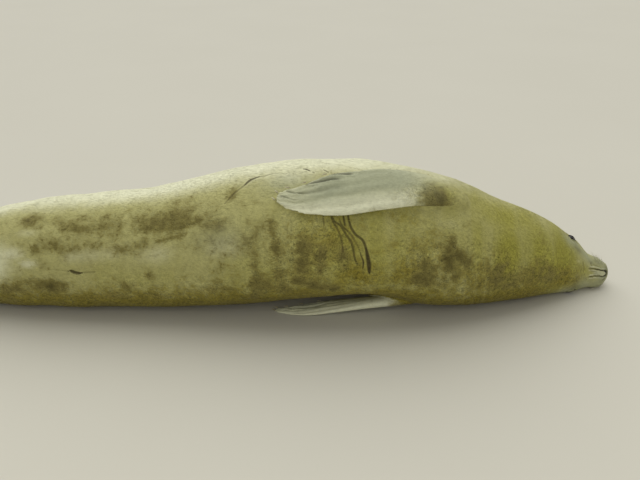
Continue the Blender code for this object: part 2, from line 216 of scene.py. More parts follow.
def relax(points: Array, ends: Array, weights: Array, rounds: int, regain: float = 0.0) -> Array:
    """Moves points towards the middle of their neighbours, to smooth a surface.

    Args:
        points: the vertices.
        ends: the two ends of every edge.
        weights: how far each vertex goes, from 0 to 1.
        rounds: how many times.
        regain: the share that each round gives back, against shrinking.

    Returns:
        The smoothed vertices.
    """
    count = np.maximum(np.bincount(ends.ravel(), minlength=len(points)), 1)[:, None]
    for _ in range(rounds):
        for share in (weights, -regain * weights):
            total = np.stack(
                [
                    np.bincount(ends[:, 0], points[ends[:, 1], axis], len(points))
                    + np.bincount(ends[:, 1], points[ends[:, 0], axis], len(points))
                    for axis in range(3)
                ],
                axis=1,
            )
            points = points + share[:, None] * (total / count - points)
            if not regain:
                break
    return points


def gather(points: Array, tree: BVHTree, reach: float) -> Array:
    """Distance from each point to a surface, at most reach."""
    found = np.full(len(points), reach)
    for i, point in enumerate(points):
        hit = tree.find_nearest(point, reach)
        if hit[3] is not None:
            found[i] = hit[3]
    return found


def path_gap(x: Array, y: Array, path: Array) -> tuple[Array, Array]:
    """How far points of a plane are from a path.

    Args:
        x: first coordinates of the points.
        y: second coordinates.
        path: corners of the path, as rows.

    Returns:
        The distances, and how far along the path the nearest place is, from 0 to 1.
    """
    best = np.full(len(x), np.inf)
    where = np.zeros(len(x))
    count = len(path) - 1
    for i, (start, stop) in enumerate(zip(path[:-1], path[1:])):
        run = stop - start
        t = ((x - start[0]) * run[0] + (y - start[1]) * run[1]) / max(run @ run, 1e-12)
        t = np.clip(t, 0.0, 1.0)
        gap = np.hypot(x - start[0] - t * run[0], y - start[1] - t * run[1])
        nearer = gap < best
        best = np.where(nearer, gap, best)
        where = np.where(nearer, (i + t) / count, where)
    return best, where


def smooth_path(knots: Knots | Array, steps: int = 6) -> Array:
    """A rounded path through a few knots, as rows of points."""
    knots = np.asarray(knots, float)
    if len(knots) < 3:
        return knots
    padded = np.vstack([2 * knots[0] - knots[1], knots, 2 * knots[-1] - knots[-2]])
    rows = []
    for a, b, c, d in zip(padded[:-3], padded[1:-2], padded[2:-1], padded[3:]):
        for t in np.arange(steps) / steps:
            square = (2 * a - 5 * b + 4 * c - d) * t**2
            cube = (3 * b - a - 3 * c + d) * t**3
            rows.append(0.5 * (2 * b + (c - a) * t + square + cube))
    return np.vstack([rows, knots[-1]])


@dataclass(frozen=True)
class Fold:
    """A ridge or, with a height below 0, a groove that runs beside a line or round a place."""

    height: float
    width: float
    gap: float = 0.0

    def rise(self, gap: Array) -> Array:
        """How high it is at distances from the line."""
        return self.height * bell(gap - self.gap, self.width)


def rise_of(folds: tuple[Fold, ...], gap: Array) -> Array:
    """How high a few folds are together at distances from their line."""
    return sum(fold.rise(gap) for fold in folds)


# ---- shaders ----
class Socket:
    """A value in a material, on which Python's operators add Math nodes."""

    def __init__(self, shader: "Shader", link: bpy.types.NodeSocket | None) -> None:
        """Wraps one output of a node."""
        self.shader = shader
        self.link = link

    def _maths(self, operation: str, *values: "Socket | float") -> "Socket":
        """A Math node on these values."""
        return self.shader.node("ShaderNodeMath", {"operation": operation}, dict(enumerate(values)))

    def __add__(self, other: "Socket | float") -> "Socket":
        """This plus the other."""
        return self._maths("ADD", self, other)

    __radd__ = __add__

    def __sub__(self, other: "Socket | float") -> "Socket":
        """This less the other."""
        return self._maths("SUBTRACT", self, other)

    def __rsub__(self, other: float) -> "Socket":
        """The other less this."""
        return self._maths("SUBTRACT", other, self)

    def __mul__(self, other: "Socket | float") -> "Socket":
        """This times the other."""
        return self._maths("MULTIPLY", self, other)

    __rmul__ = __mul__

    def step(self, low: float, high: float) -> "Socket":
        """A soft rise from 0 at low to 1 at high."""
        limits = {"Value": self, "From Min": low, "From Max": high}
        return self.shader.node("ShaderNodeMapRange", {"interpolation_type": "SMOOTHSTEP"}, limits)


class Shader:
    """The node tree of one material."""

    def __init__(self, name: str) -> None:
        """Starts an empty material."""
        self.material = bpy.data.materials.new(name)
        self.material.use_nodes = True
        self.tree = self.material.node_tree
        self.tree.nodes.clear()

    def node(
        self,
        kind: str,
        settings: dict | None = None,
        inputs: dict | None = None,
        output: int | str = 0,
    ) -> Socket:
        """Adds a node.

        Args:
            kind: the node's type.
            settings: its properties, set before its sockets.
            inputs: values or links of its sockets, by name or number.
            output: which of its outputs to return.

        Returns:
            That output, with no link where the node has none.
        """
        made = self.tree.nodes.new(kind)
        for name, value in (settings or {}).items():
            setattr(made, name, value)
        for key, value in (inputs or {}).items():
            socket = made.inputs[key]
            if isinstance(value, Socket):
                self.tree.links.new(value.link, socket)
            elif socket.type == "RGBA":
                socket.default_value = (*value, 1.0)
            else:
                socket.default_value = value
        return Socket(self, made.outputs[output] if len(made.outputs) else None)

    def mask(self, name: str) -> Socket:
        """A number that the mesh carries at each vertex."""
        return self.node("ShaderNodeAttribute", {"attribute_name": name}, output="Fac")

    def mix(
        self,
        first: "Socket | Colour",
        second: "Socket | Colour",
        factor: "Socket | float",
        blend: str = "MIX",
    ) -> Socket:
        """One colour laid over another by a factor."""
        settings = {"data_type": "RGBA", "blend_type": blend}
        return self.node("ShaderNodeMix", settings, {0: factor, 6: first, 7: second}, output=2)

    def place(self, stretch: Place = (1.0, 1.0, 1.0)) -> Socket:
        """The place in the object, stretched along its axes."""
        where = self.node("ShaderNodeTexCoord", output="Object")
        return self.node("ShaderNodeVectorMath", {"operation": "MULTIPLY"}, {0: where, 1: stretch})

    def noise(
        self,
        where: Socket,
        scale: float,
        detail: float = 4.0,
        roughness: float = 0.6,
        bend: float = 0.0,
    ) -> Socket:
        """Seeded noise about 0.5, with so many features in a metre and so many finer layers."""
        amounts = {"Scale": scale, "Detail": detail, "Roughness": roughness, "Distortion": bend}
        return self.node("ShaderNodeTexNoise", None, {"Vector": where} | amounts)

    def bump(self, height: Socket, strength: float, distance: float) -> Socket:
        """A surface relief from a height."""
        values = {"Height": height, "Strength": strength, "Distance": distance}
        return self.node("ShaderNodeBump", None, values)

    def finish(self, inputs: dict) -> Material:
        """Closes the tree with a Principled shader and returns the material."""
        surface = self.node("ShaderNodeBsdfPrincipled", None, inputs)
        self.node("ShaderNodeOutputMaterial", None, {"Surface": surface})
        return self.material


@dataclass(frozen=True)
class CoatFinish:
    """Short, flat fur: one set of markings for the skin and for the tufts over it."""

    name: str = "seal_coat"
    straw: Colour = (0.495, 0.470, 0.190)
    cream: Colour = (0.92, 0.92, 0.66)
    dun: Colour = (0.262, 0.228, 0.064)
    brown: Colour = (0.114, 0.095, 0.024)
    ochre: Colour = (0.256, 0.212, 0.026)
    olive: Colour = (0.374, 0.350, 0.060)
    slate: Colour = (0.40, 0.42, 0.275)
    scab_and_crease_shade: Colour = (0.066, 0.052, 0.018)
    # Ink darkens the lid rims and the whiskers' roots, and is painted shade in the flippers'
    # creases, the mouth line, the nostrils, the ears and round the eyes.
    ink: Colour = (0.014, 0.012, 0.007)
    roughness: float = 0.62
    gloss: float = 0.16
    # How many clouds, blotches, dapples, speckles and grains of grit lie in a metre.
    clouds: float = 5.0
    blotches: float = 13.0
    dapples: float = 38.0
    speckles: float = 115.0
    grits: float = 290.0
    # How many bands round the neck, hairs and finer hairs lie in a metre, along and across.
    bands: Place = (17.0, 3.0, 3.0)
    hairs: Place = (55.0, 330.0, 330.0)
    fine_hairs: Place = (160.0, 1300.0, 1300.0)
    relief_depth: float = 0.003

    def material(self) -> Material:
        """Builds the material, in which each colour is laid over those before it."""
        shader = Shader(self.name)
        here = shader.place()
        cloud = shader.noise(here, self.clouds, 3.0, 0.55) - 0.5
        blotch = shader.noise(here, self.blotches, 3.0, 0.55, 0.5) - 0.5
        dapple = shader.noise(here, self.dapples, 3.0, 0.6, 0.4) - 0.5
        speckle = shader.noise(here, self.speckles, 3.0, 0.65) - 0.5
        grit = shader.noise(here, self.grits, 2.0, 0.6) - 0.5
        bands = shader.noise(shader.place(self.bands), 1.0, 3.0, 0.5) - 0.5
        grain = shader.noise(shader.place(self.hairs), 1.0, 3.0, 0.6)
        strands = shader.noise(shader.place(self.fine_hairs), 1.0, 2.0, 0.5)
        tuft = shader.mask("tuft") - 0.5
        # The ochre mask holds dirt, and also painted shade low on the body and under the folded
        # fore flipper.
        mottle, dirt_and_shade = shader.mask("mottle"), shader.mask("ochre")

        # The pale mask holds the coat's own pale parts and also painted light: along the top, and
        # on the fore flipper that lies on the floor.
        pale = (shader.mask("pale") + cloud * 0.5 + dapple * 0.25).step(0.10, 0.95)
        colour = shader.mix(self.straw, self.cream, pale)
        olive = (shader.mask("olive") * 1.2 + cloud * 0.6 + bands * 0.9).step(0.05, 1.15)
        colour = shader.mix(colour, self.olive, olive)
        ochre = (dirt_and_shade * 1.3 + blotch * 1.1 + dapple * 1.2 + speckle * 0.9).step(0.15, 1.15)
        colour = shader.mix(colour, self.ochre, ochre)
        dun = mottle * 1.7 + blotch * 1.4 + dapple * 1.8 + speckle * 0.9 + grit * 0.4
        colour = shader.mix(colour, self.dun, dun.step(0.16, 1.40))
        brown = mottle * 1.2 + blotch * 1.0 + dapple * 1.9 + speckle * 3.0 + grit * 1.0 + tuft * 0.1
        colour = shader.mix(colour, self.brown, brown.step(0.60, 1.75))
        slate = shader.mask("slate")
        ragged = (slate * (1 - slate)) * (cloud * 1.2 + dapple * 1.6)
        colour = shader.mix(colour, self.slate, slate + ragged)
        # Ink: dark skin, and painted shade in creases, slits and openings.
        colour = shader.mix(colour, self.ink, shader.mask("ink"))
        crack = (shader.mask("line") + grit * 0.3 + speckle * 0.2).step(0.56, 0.84)
        # Scars in their own dark colour, and painted shade in the creases, slits and folds.
        colour = shader.mix(colour, self.scab_and_crease_shade, shader.mask("scar") * crack)

        rough_coat = (dirt_and_shade + mottle + shader.mask("olive") * 0.6).step(0.0, 1.4)
        tone = 0.89 + 0.20 * (grain - 0.5) + 0.22 * speckle + 0.13 * tuft
        tone = tone + rough_coat * (speckle * 2.05 + grit * 1.7)
        grey = shader.node("ShaderNodeCombineColor", None, {0: tone, 1: tone, 2: tone})
        colour = shader.mix(colour, grey, 1.0, "MULTIPLY")
        rough = self.roughness + 0.25 * (grain - 0.5) - 0.25 * shader.mask("wet")
        relief = grain * 0.6 + strands * 0.3 + speckle * 0.35
        return shader.finish(
            {
                "Base Color": colour,
                "Roughness": rough,
                "Normal": shader.bump(relief, 0.35, self.relief_depth),
                "Specular IOR Level": self.gloss,
                "Sheen Weight": 0.05,
                "Sheen Roughness": 0.4,
            }
        )


@dataclass(frozen=True)
class EyeFinish:
    """A dark, wet eye: brown iris, round pupil and a clear gloss over both."""

    name: str = "seal_eye"
    iris: Colour = (0.022, 0.012, 0.006)
    pupil: Colour = (0.002, 0.002, 0.002)
    rim: Colour = (0.060, 0.050, 0.042)
    # How far off the eye's axis the iris and the rim begin, as shares of its radius.
    iris_from: tuple[float, float] = (0.30, 0.36)
    rim_from: tuple[float, float] = (0.70, 0.80)
    fibres: float = 900.0

    def material(self) -> Material:
        """Builds the material."""
        shader = Shader(self.name)
        off = shader.mask("off_axis")
        fibres = shader.noise(shader.place(), self.fibres, 3.0, 0.6)
        iris = (off + (fibres - 0.5) * 0.03).step(*self.iris_from)
        colour = shader.mix(self.pupil, self.iris, iris)
        colour = shader.mix(colour, self.rim, off.step(*self.rim_from))
        return shader.finish(
            {
                "Base Color": colour,
                "Roughness": 0.12 + 0.06 * fibres,
                "Coat Weight": 0.18,
                "Coat Roughness": 0.03,
                "Specular IOR Level": 0.18,
            }
        )


@dataclass(frozen=True)
class HornFinish:
    """Worn claw horn: dark at the root, paler at the tip, with fine ridges along it."""

    name: str = "seal_horn"
    root: Colour = (0.40, 0.355, 0.22)
    tip: Colour = (0.58, 0.54, 0.38)
    ridges: Place = (120.0, 1500.0, 1500.0)
    ridge_depth: float = 0.0004

    def material(self) -> Material:
        """Builds the material."""
        shader = Shader(self.name)
        ridges = shader.noise(shader.place(self.ridges), 1.0, 3.0, 0.6)
        along = (shader.mask("along") + (ridges - 0.5) * 0.5).step(0.25, 1.0)
        return shader.finish(
            {
                "Base Color": shader.mix(self.root, self.tip, along),
                "Roughness": 0.34 + 0.2 * ridges,
                "Normal": shader.bump(ridges, 0.4, self.ridge_depth),
            }
        )


@dataclass(frozen=True)
class WhiskerFinish:
    """Stiff, pale, half-clear bristles, browner at the root."""

    name: str = "seal_whisker"
    root: Colour = (0.20, 0.16, 0.09)
    tip: Colour = (0.72, 0.68, 0.52)
    beads: float = 600.0

    def material(self) -> Material:
        """Builds the material."""
        shader = Shader(self.name)
        beads = shader.noise(shader.place(), self.beads, 1.0, 0.5)
        along = (shader.mask("along") + (beads - 0.5) * 0.3).step(0.0, 0.5)
        colour = shader.mix(self.root, self.tip, along)
        return shader.finish({"Base Color": colour, "Roughness": 0.28 + 0.15 * beads})


@dataclass(frozen=True)
class FloorFinish:
    """A plain pale floor, very faintly uneven."""

    name: str = "pale_floor"
    light: Colour = (0.615, 0.595, 0.52)
    dark: Colour = (0.590, 0.570, 0.495)
    clouds: float = 1.2

    def material(self) -> Material:
        """Builds the material."""
        shader = Shader(self.name)
        cloud = shader.noise(shader.place(), self.clouds, 3.0, 0.5)
        colour = shader.mix(self.dark, self.light, cloud)
        return shader.finish({"Base Color": colour, "Roughness": 0.9})


Finish = CoatFinish | EyeFinish | HornFinish | WhiskerFinish


def dress(mesh: Mesh, finish: Finish) -> None:
    """Shades a mesh smoothly and gives it a finish, whose material is built once."""
    mesh.shade_smooth()
    mesh.materials.append(bpy.data.materials.get(finish.name) or finish.material())


# ---- the body's own coordinates ----
@dataclass
class Body:
    """The seal's long axis and girth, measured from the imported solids."""

    nodes: dict[str, Object]
    muzzle_roll: float = 17.0
    nape_roll: float = 12.0
    # Where the muzzle's roll begins to fade, where only the nape's is left, and where that ends.
    roll_fades: tuple[float, float, float] = (0.09, 0.19, 0.45)
    ring_corners: int = 60
    socket_reach: float = 0.012

    def __post_init__(self) -> None:
        """Measures the rings of the trunk, leaving out those that the eye sockets cut."""
        names = (*TRUNK_NODES, "lower_jaw")
        points = np.concatenate([corners_of(self.nodes[name].data) for name in names])
        self.nose = float(points[:, 0].max())
        s = np.round(self.nose - points[:, 0], 4)
        eye_low, eye_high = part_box("eye_right")
        stops, counts = np.unique(s, return_counts=True)
        clear = (stops < self.nose - eye_high.x - self.socket_reach) | (
            stops > self.nose - eye_low.x + self.socket_reach
        )
        self.stops = stops[(counts >= self.ring_corners) & clear]
        low = np.array([points[s == stop].min(axis=0) for stop in self.stops])
        high = np.array([points[s == stop].max(axis=0) for stop in self.stops])
        self.middle = (low + high) / 2
        self.half = np.maximum((high - low) / 2, 1e-3)

    def roll(self, s: Array) -> Array:
        """Degrees that the head is rolled, chin up."""
        start, nape, end = self.roll_fades
        muzzle = (self.muzzle_roll - self.nape_roll) * (1 - ramp(s, start, nape))
        return muzzle + self.nape_roll * (1 - ramp(s, nape, end))

    def centre(self, s: Array) -> Array:
        """The axis at distances s."""
        s = np.asarray(s, float)
        y = np.interp(s, self.stops, self.middle[:, 1])
        z = np.interp(s, self.stops, self.middle[:, 2])
        return np.stack([self.nose - s, y, z], axis=-1)

    def girth(self, s: Array) -> Array:
        """The mean radius at distances s."""
        across = np.interp(s, self.stops, self.half[:, 1])
        return (across + np.interp(s, self.stops, self.half[:, 2])) / 2

    def locate(self, points: Array) -> tuple[Array, Array]:
        """The distances and the turns of points."""
        s = self.nose - points[:, 0]
        offset = points - self.centre(s)
        across = -offset[:, 1] / np.interp(s, self.stops, self.half[:, 1])
        up = offset[:, 2] / np.interp(s, self.stops, self.half[:, 2])
        turn = np.degrees(np.arctan2(up, across)) - self.roll(s)
        return s, turn_gap(turn, 0.0)

    def head_axes(self, s: float = 0.05) -> tuple[Array, Array]:
        """Unit vectors to the head's own right side and to its chin, at a distance s."""
        roll = math.radians(float(self.roll(s)))
        right = np.array([0.0, math.sin(roll), math.cos(roll)])
        chin = np.array([0.0, -math.cos(roll), math.sin(roll)])
        return right, chin


@dataclass
class Flipper:
    """One flipper's length and width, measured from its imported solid."""

    name: str
    body: Body
    bins: int = 60
    samples: int = 40
    seed: int = 7
    girth: float = 0.21

    def __post_init__(self) -> None:
        """Measures both edges all along the flipper."""
        low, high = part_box(self.name)
        self.root, self.tip = high.x, low.x
        self.fore = self.name.startswith("fore")
        # The right fore flipper is folded round the flank, so it is measured in turns.
        self.folded = self.name == "fore_flipper_right"
        self.on_floor = self.name == "fore_flipper_left"
        mesh = self.body.nodes[self.name].data
        triangles = corners_of(mesh)[triangles_of(mesh)]
        rng = np.random.default_rng(self.seed)
        weights = rng.dirichlet((1, 1, 1), (self.samples, len(triangles)))
        points = np.einsum("kti,tic->ktc", weights, triangles).reshape(-1, 3)
        share, side = self._share(points), self._side(points)
        self.shares = (np.arange(self.bins) + 0.5) / self.bins
        which = np.clip((share * self.bins).astype(int), 0, self.bins - 1)
        self.low = np.array([side[which == i].min(initial=np.inf) for i in range(self.bins)])
        self.high = np.array([side[which == i].max(initial=-np.inf) for i in range(self.bins)])
        scale = math.radians(1.0) * self.girth if self.folded else 1.0
        self.half_width = float(np.median(self.high - self.low)) / 2 * scale

    def _share(self, points: Array) -> Array:
        """How far along the flipper points are, from 0 at its root to 1."""
        return (self.root - points[:, 0]) / (self.root - self.tip)

    def _side(self, points: Array) -> Array:
        """Where points are across the flipper, towards its trailing edge, unscaled."""
        return self.body.locate(points)[1] if self.folded else points[:, 1]

    def locate(self, points: Array) -> tuple[Array, Array]:
        """Shares of the length, and places across from +1 at the leading edge to -1."""
        share, side = self._share(points), self._side(points)
        low = np.interp(share, self.shares, self.low)
        high = np.interp(share, self.shares, self.high)
        return share, 1 - 2 * (side - low) / np.maximum(high - low, 1e-6)


@dataclass(frozen=True)
class Crease:
    """A groove between two digits of a flipper, darkened with painted shade by its ink."""

    knots: Knots
    width: float
    depth: float
    ink: float

    def trace(self, flipper: Flipper, share: Array, across: Array) -> tuple[Array, Array]:
        """Where the groove runs.

        Args:
            flipper: the flipper it is cut in.
            share: how far along the flipper each place lies.
            across: where each place lies across it.

        Returns:
            The places' distances from it in half-widths, and how deep it is there, up to 1.
        """
        scale = np.array([flipper.root - flipper.tip, flipper.half_width])
        path = smooth_path(np.asarray(self.knots) * scale)
        gap, where = path_gap(share * scale[0], across * scale[1], path)
        gap = gap / (self.width / 2)
        return gap, bell(gap, 1.0) * ramp(where, 0.0, 0.25)


@dataclass
class EyeSeat:
    """Where one eye sits: its ball, and the axes of the opening between its lids."""

    side: str
    body: Body
    half_length: float = 0.0178
    upper: float = 0.0094
    lower: float = 0.0086
    noseward: float = 0.26
    chinward: float = 0.54
    slant: float = 0.16

    def __post_init__(self) -> None:
        """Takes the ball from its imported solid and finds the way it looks."""
        low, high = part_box(f"eye_{self.side}")
        self.centre = np.array((low + high) / 2)
        self.radius = float(high.x - low.x) / 2
        right, chin = self.body.head_axes(self.body.nose - float(self.centre[0]))
        sign = 1.0 if self.side == "right" else -1.0
        ahead = np.array([1.0, 0.0, 0.0])
        self.out = unit(sign * right + self.noseward * ahead + self.chinward * chin)
        forward = ahead + self.slant * chin
        self.forward = unit(forward - self.out * (forward @ self.out))
        self.brow = np.cross(self.out, self.forward) * sign
        if self.brow @ chin > 0:
            self.brow = -self.brow

    def local(self, points: Array) -> tuple[Array, Array, Array]:
        """Points seen from the eye: forward, towards the brow, and outward."""
        offset = points - self.centre
        return offset @ self.forward, offset @ self.brow, offset @ self.out

    def margin(self, along: Array, up: Array) -> Array:
        """How far outside the opening between the lids a place is, negative inside."""
        share = np.clip(1 - (along / self.half_length) ** 2, 0.0, 1.0)
        edge = np.where(up > 0, up - self.upper * share**0.85, -up - self.lower * share**0.75)
        beyond = np.maximum(np.abs(along) - self.half_length, 0.0)
        return np.where(beyond > 0, np.hypot(beyond, up), edge * (0.35 + 0.65 * share**0.5))


# ---- markings ----
class Mark(Enum):
    """What a marking does to the coat."""

    PALE = "pale"
    OLIVE = "olive"
    OCHRE = "ochre"
    MOTTLE = "mottle"
    SLATE = "slate"
    INK = "ink"
    WET = "wet"
    LINE = "line"
    SCAR = "scar"


def drawn_gap(
    body: Body, knots: Knots, s: Array, turn: Array, reach: float
) -> tuple[Array, Array, Array]:
    """How far places on the body are from a line drawn on it.

    Args:
        body: the body it is drawn on.
        knots: places (s, turn) that the line runs through.
        s: distances behind the nose tip.
        turn: turns round the body.
        reach: how far from the line to look.

    Returns:
        Which places are near, their distances in metres, and how far along the line each is.
    """
    places = np.asarray(knots, float)
    arc = math.radians(1.0) * float(body.girth(places[:, 0].mean()))
    path = smooth_path(places * (1.0, arc))
    level = places[:, 1].mean()
    level = (level + turn_gap(turn, level)) * arc
    near = (s > path[:, 0].min() - reach) & (s < path[:, 0].max() + reach)
    near &= (level > path[:, 1].min() - reach) & (level < path[:, 1].max() + reach)
    near = np.flatnonzero(near)
    gap, where = path_gap(s[near], level[near], path)
    return near, gap, where


@dataclass(frozen=True)
class Patch:
    """A soft-edged patch of a marking."""

    s: float
    turn: float
    along: float
    around: float
    amount: float

    def cover(self, body: Body, s: Array, turn: Array) -> Array:
        """How strongly the patch covers each place."""
        along, around = bell(s - self.s, self.along), bell(turn_gap(turn, self.turn), self.around)
        return self.amount * along * around


@dataclass(frozen=True)
class Streak:
    """A soft-edged streak of a marking along a line."""

    knots: Knots
    reach: float
    amount: float

    def cover(self, body: Body, s: Array, turn: Array) -> Array:
        """How strongly the streak covers each place."""
        cover = np.zeros(len(s))
        near, gap, _ = drawn_gap(body, self.knots, s, turn, 3 * self.reach)
        cover[near] = self.amount * bell(gap, self.reach)
        return cover


@dataclass(frozen=True)
class Stroke:
    """A thin line cut in the skin, thinner at its ends: a scar, crease or slit. Its ink is a scar's
    own dark colour, or painted shade in a crease or slit.
    """

    knots: Knots
    width: float
    depth: float
    ink: float

    def trace(self, body: Body, s: Array, turn: Array) -> tuple[Array, Array]:
        """Where the line runs.

        Args:
            body: the body it is drawn on.
            s: distances behind the nose tip.
            turn: turns round the body.

        Returns:
            The places near it, and their distances in half-widths of the line there.
        """
        near, gap, where = drawn_gap(body, self.knots, s, turn, 5 * self.width)
        taper = 0.50 + 0.50 * np.sin(np.pi * np.clip(where, 0.0, 1.0)) ** 0.5
        return near, gap / (self.width / 2 * taper)


def both(*rows: tuple) -> tuple:
    """Patches of the right side, and the same ones on the left."""
    return rows + tuple((s, -turn, *others) for s, turn, *others in rows)


# Each marking's patches, as (s, turn, along, around, amount), and streaks, as (knots, reach,
# amount), from the flank to the chest, the face and the back.
PATCHES: dict[Mark, tuple] = {
    Mark.MOTTLE: (
        # The flank.
        (1.862, 62, 0.05, 9, 0.78), (((1.84, 60), (1.77, 55), (1.7, 50), (1.6, 46)), 0.044, 0.34),
        (1.765, 57, 0.038, 5, 0.55), (1.698, 48, 0.04, 5, 0.6), (1.617, 49, 0.034, 7, 0.48),
        (1.62, 61, 0.05, 6, 0.35), (1.494, 46, 0.034, 5, 0.65), (1.556, 66, 0.014, 4, 0.6),
        (1.492, 63, 0.014, 4, 0.6), (1.51, 57, 0.04, 8, 0.46), (1.43, 50, 0.1, 14, 0.84),
        (1.338, 47, 0.066, 12, 0.34), (1.4, 66, 0.07, 8, 0.4),
        (((1.475, 45), (1.43, 43), (1.38, 42), (1.33, 45)), 0.01, 0.85),
        (1.278, 40, 0.042, 8, 0.66), (1.238, 62, 0.02, 7, 0.72), (1.19, 27, 0.05, 16, 0.44),
        (((1.455, 33), (1.412, 34), (1.375, 36)), 0.009, 0.6), (1.76, 32, 0.13, 11, 0.5),
        (1.832, 30, 0.024, 7, 0.66), (1.77, 30, 0.022, 6, 0.66), (1.567, 27, 0.046, 8, 0.6),
        (1.506, 32, 0.044, 8, 0.56), (1.66, 34, 0.09, 10, 0.36), (1.49, 2, 0.02, 5, 0.8),
        (1.795, -11, 0.06, 11, 0.96), (1.815, 14, 0.03, 7, 0.48), (1.931, -16, 0.07, 10, 0.76),
        (1.855, -3, 0.03, 8, 0.62), (1.819, -8, 0.05, 6, 0.52), (1.56, -8, 0.05, 8, 0.5),
        (1.6, -22, 0.07, 8, 0.55), (1.294, -15, 0.06, 9, 0.6), (1.45, -24, 0.08, 8, 0.5),
        (1.56, 48, 0.34, 21, 0.4), (1.64, 12, 0.3, 24, 0.22), (1.27, 24, 0.11, 24, 0.3),
        # The chest, throat and neck.
        (((1.121, 36), (1.108, 17), (1.101, -4)), 0.019, 0.62),
        (((1.037, 20), (1.036, 10), (1.034, 1)), 0.022, 0.82),
        (((1.032, 12), (1.006, 20)), 0.015, 0.52), (((0.979, 17), (0.98, 0)), 0.018, 0.78),
        (((0.917, 16), (0.918, 3)), 0.017, 0.66),
        (((1.05, -8), (0.99, -14), (0.935, -18)), 0.02, 0.82),
        (((1.171, 30), (1.175, 0), (1.18, -33)), 0.018, 0.55), (1.16, -16, 0.036, 15, 0.75),
        (1.04, 12, 0.13, 24, 0.46), (0.926, 14, 0.034, 12, 0.46), (1.09, -14, 0.03, 14, 0.6),
        (0.667, -6, 0.03, 9, 0.92), (0.681, 8, 0.022, 7, 0.82), (0.696, -6, 0.022, 8, 0.82),
        (0.653, 4, 0.02, 7, 0.72), (0.609, 12, 0.022, 12, 1.0), (0.6, 26, 0.018, 9, 0.85),
        (0.554, 12, 0.022, 10, 0.72), (0.577, 17, 0.02, 8, 0.78), (0.63, 6, 0.1, 26, 0.42),
        (0.74, 24, 0.09, 12, 0.1), (0.5, 2, 0.07, 24, 0.26), (0.4, -9, 0.15, 17, 0.52),
        (0.25, -16, 0.09, 14, 0.42), (0.636, -9, 0.05, 9, 0.55), (0.59, -4, 0.024, 8, 0.66),
        (0.466, 6, 0.062, 16, 0.44), (0.31, -6, 0.06, 14, 0.36), (0.424, 6, 0.036, 24, 0.38),
        (0.292, 0, 0.048, 26, 0.42),
        # The back and the left side.
        (0.7, 200, 0.11, 18, 0.44), (0.96, 150, 0.13, 13, 0.4), (1.1, 216, 0.15, 16, 0.5),
        (1.32, 170, 0.16, 16, 0.46), (1.52, 234, 0.16, 15, 0.6), (1.56, 134, 0.1, 10, 0.36),
        (1.7, 198, 0.15, 18, 0.52), (1.9, 146, 0.09, 14, 0.44), (1.96, 228, 0.1, 18, 0.56),
        (2.12, 172, 0.08, 24, 0.42), (1.45, 215, 0.6, 46, 0.26), (1.25, -60, 0.12, 14, 0.55),
        (1.7, -70, 0.15, 14, 0.5),
    ),
    Mark.OCHRE: (
        # The chest, throat and neck.
        # The first patch is partly dirt and partly painted shadow below the folded fore flipper;
        # the second is painted shadow under that flipper's lower edge.
        (0.97, 24, 0.11, 28, 0.58), (0.75, 42, 0.11, 8, 0.36), (1.08, -4, 0.15, 22, 0.4),
        (0.86, -6, 0.12, 20, 0.62), (0.69, 0, 0.13, 34, 0.6), (0.49, -6, 0.12, 26, 0.7),
        (0.329, -12, 0.1, 22, 0.78), (0.18, -24, 0.08, 30, 0.76), (0.58, 71, 0.03, 8, 0.5),
        (0.561, 70, 0.024, 8, 0.5),
    ),
    Mark.OLIVE: (
        # The flank.
        (1.96, 4, 0.11, 26, 0.25), (1.5, 0, 0.24, 20, 0.34),
        # The chest, throat and neck.
        (0.9, 16, 0.33, 60, 0.62), (0.422, 14, 0.06, 44, 0.92), (0.35, 30, 0.07, 40, 0.4),
        (0.29, 10, 0.06, 56, 0.95), (0.2, 14, 0.08, 70, 0.9), (0.52, 26, 0.07, 36, 0.5),
        (0.42, 66, 0.17, 34, 0.62), (0.34, -70, 0.16, 50, 0.75),
        # The face.
        (0.11, 0, 0.06, 40, 0.65),
        # The back and the left side.
        (0.3, 180, 0.26, 120, 0.5), (1.2, 262, 0.7, 40, 0.55),
    ),
    Mark.PALE: (
        # The flank.
        (1.856, 47, 0.05, 6, 0.36), (1.912, 26, 0.05, 9, 0.55), (1.856, 15, 0.04, 6, 0.5),
        (((1.72, 22), (1.64, 24), (1.56, 27)), 0.034, 0.34), (1.473, 21, 0.08, 13, 0.42),
        (1.251, 22, 0.09, 13, 0.4), (1.99, 10, 0.1, 32, 0.74),
        # The chest, throat and neck.
        (0.83, 26, 0.07, 16, 0.26), (0.3, 38, 0.05, 18, 0.3), (0.6, 40, 0.05, 9, 0.3),
        (1.06, 70, 0.06, 10, 0.26),
        # The face.
        *both(
            (0.128, 100, 0.03, 16, 0.55), (0.138, 17, 0.016, 6, 0.45),
        ),
        (0.046, 14, 0.016, 9, 0.4),
    ),
    Mark.SLATE: (
        # The flank.
        (1.08, 66, 0.08, 11, 0.46), (1.27, 30, 0.07, 10, 0.26),
        # The face.
        *both(
            (0.172, 60, 0.03, 17, 0.62), (0.145, 66, 0.03, 20, 0.58), (0.092, 52, 0.04, 30, 0.7),
            (0.04, 70, 0.04, 54, 0.66),
        ),
        (0.02, 0, 0.04, 170, 0.6),
    ),
    Mark.INK: (
        # The face.
        *both((0.136, 50, 0.022, 12, 0.34)),
        # On the next line, the first patch is painted shadow under the front of the upper lip, and
        # the last is painted shade in the fold at the lip's corner.
        (0.012, 34, 0.01, 26, 0.34), (0.05, 50, 0.014, 12, 0.24), (0.076, 38, 0.012, 9, 0.28),
        (0.034, -34, 0.01, 9, 0.2), (0.06, 0, 0.01, 5, 0.16),
    ),
}
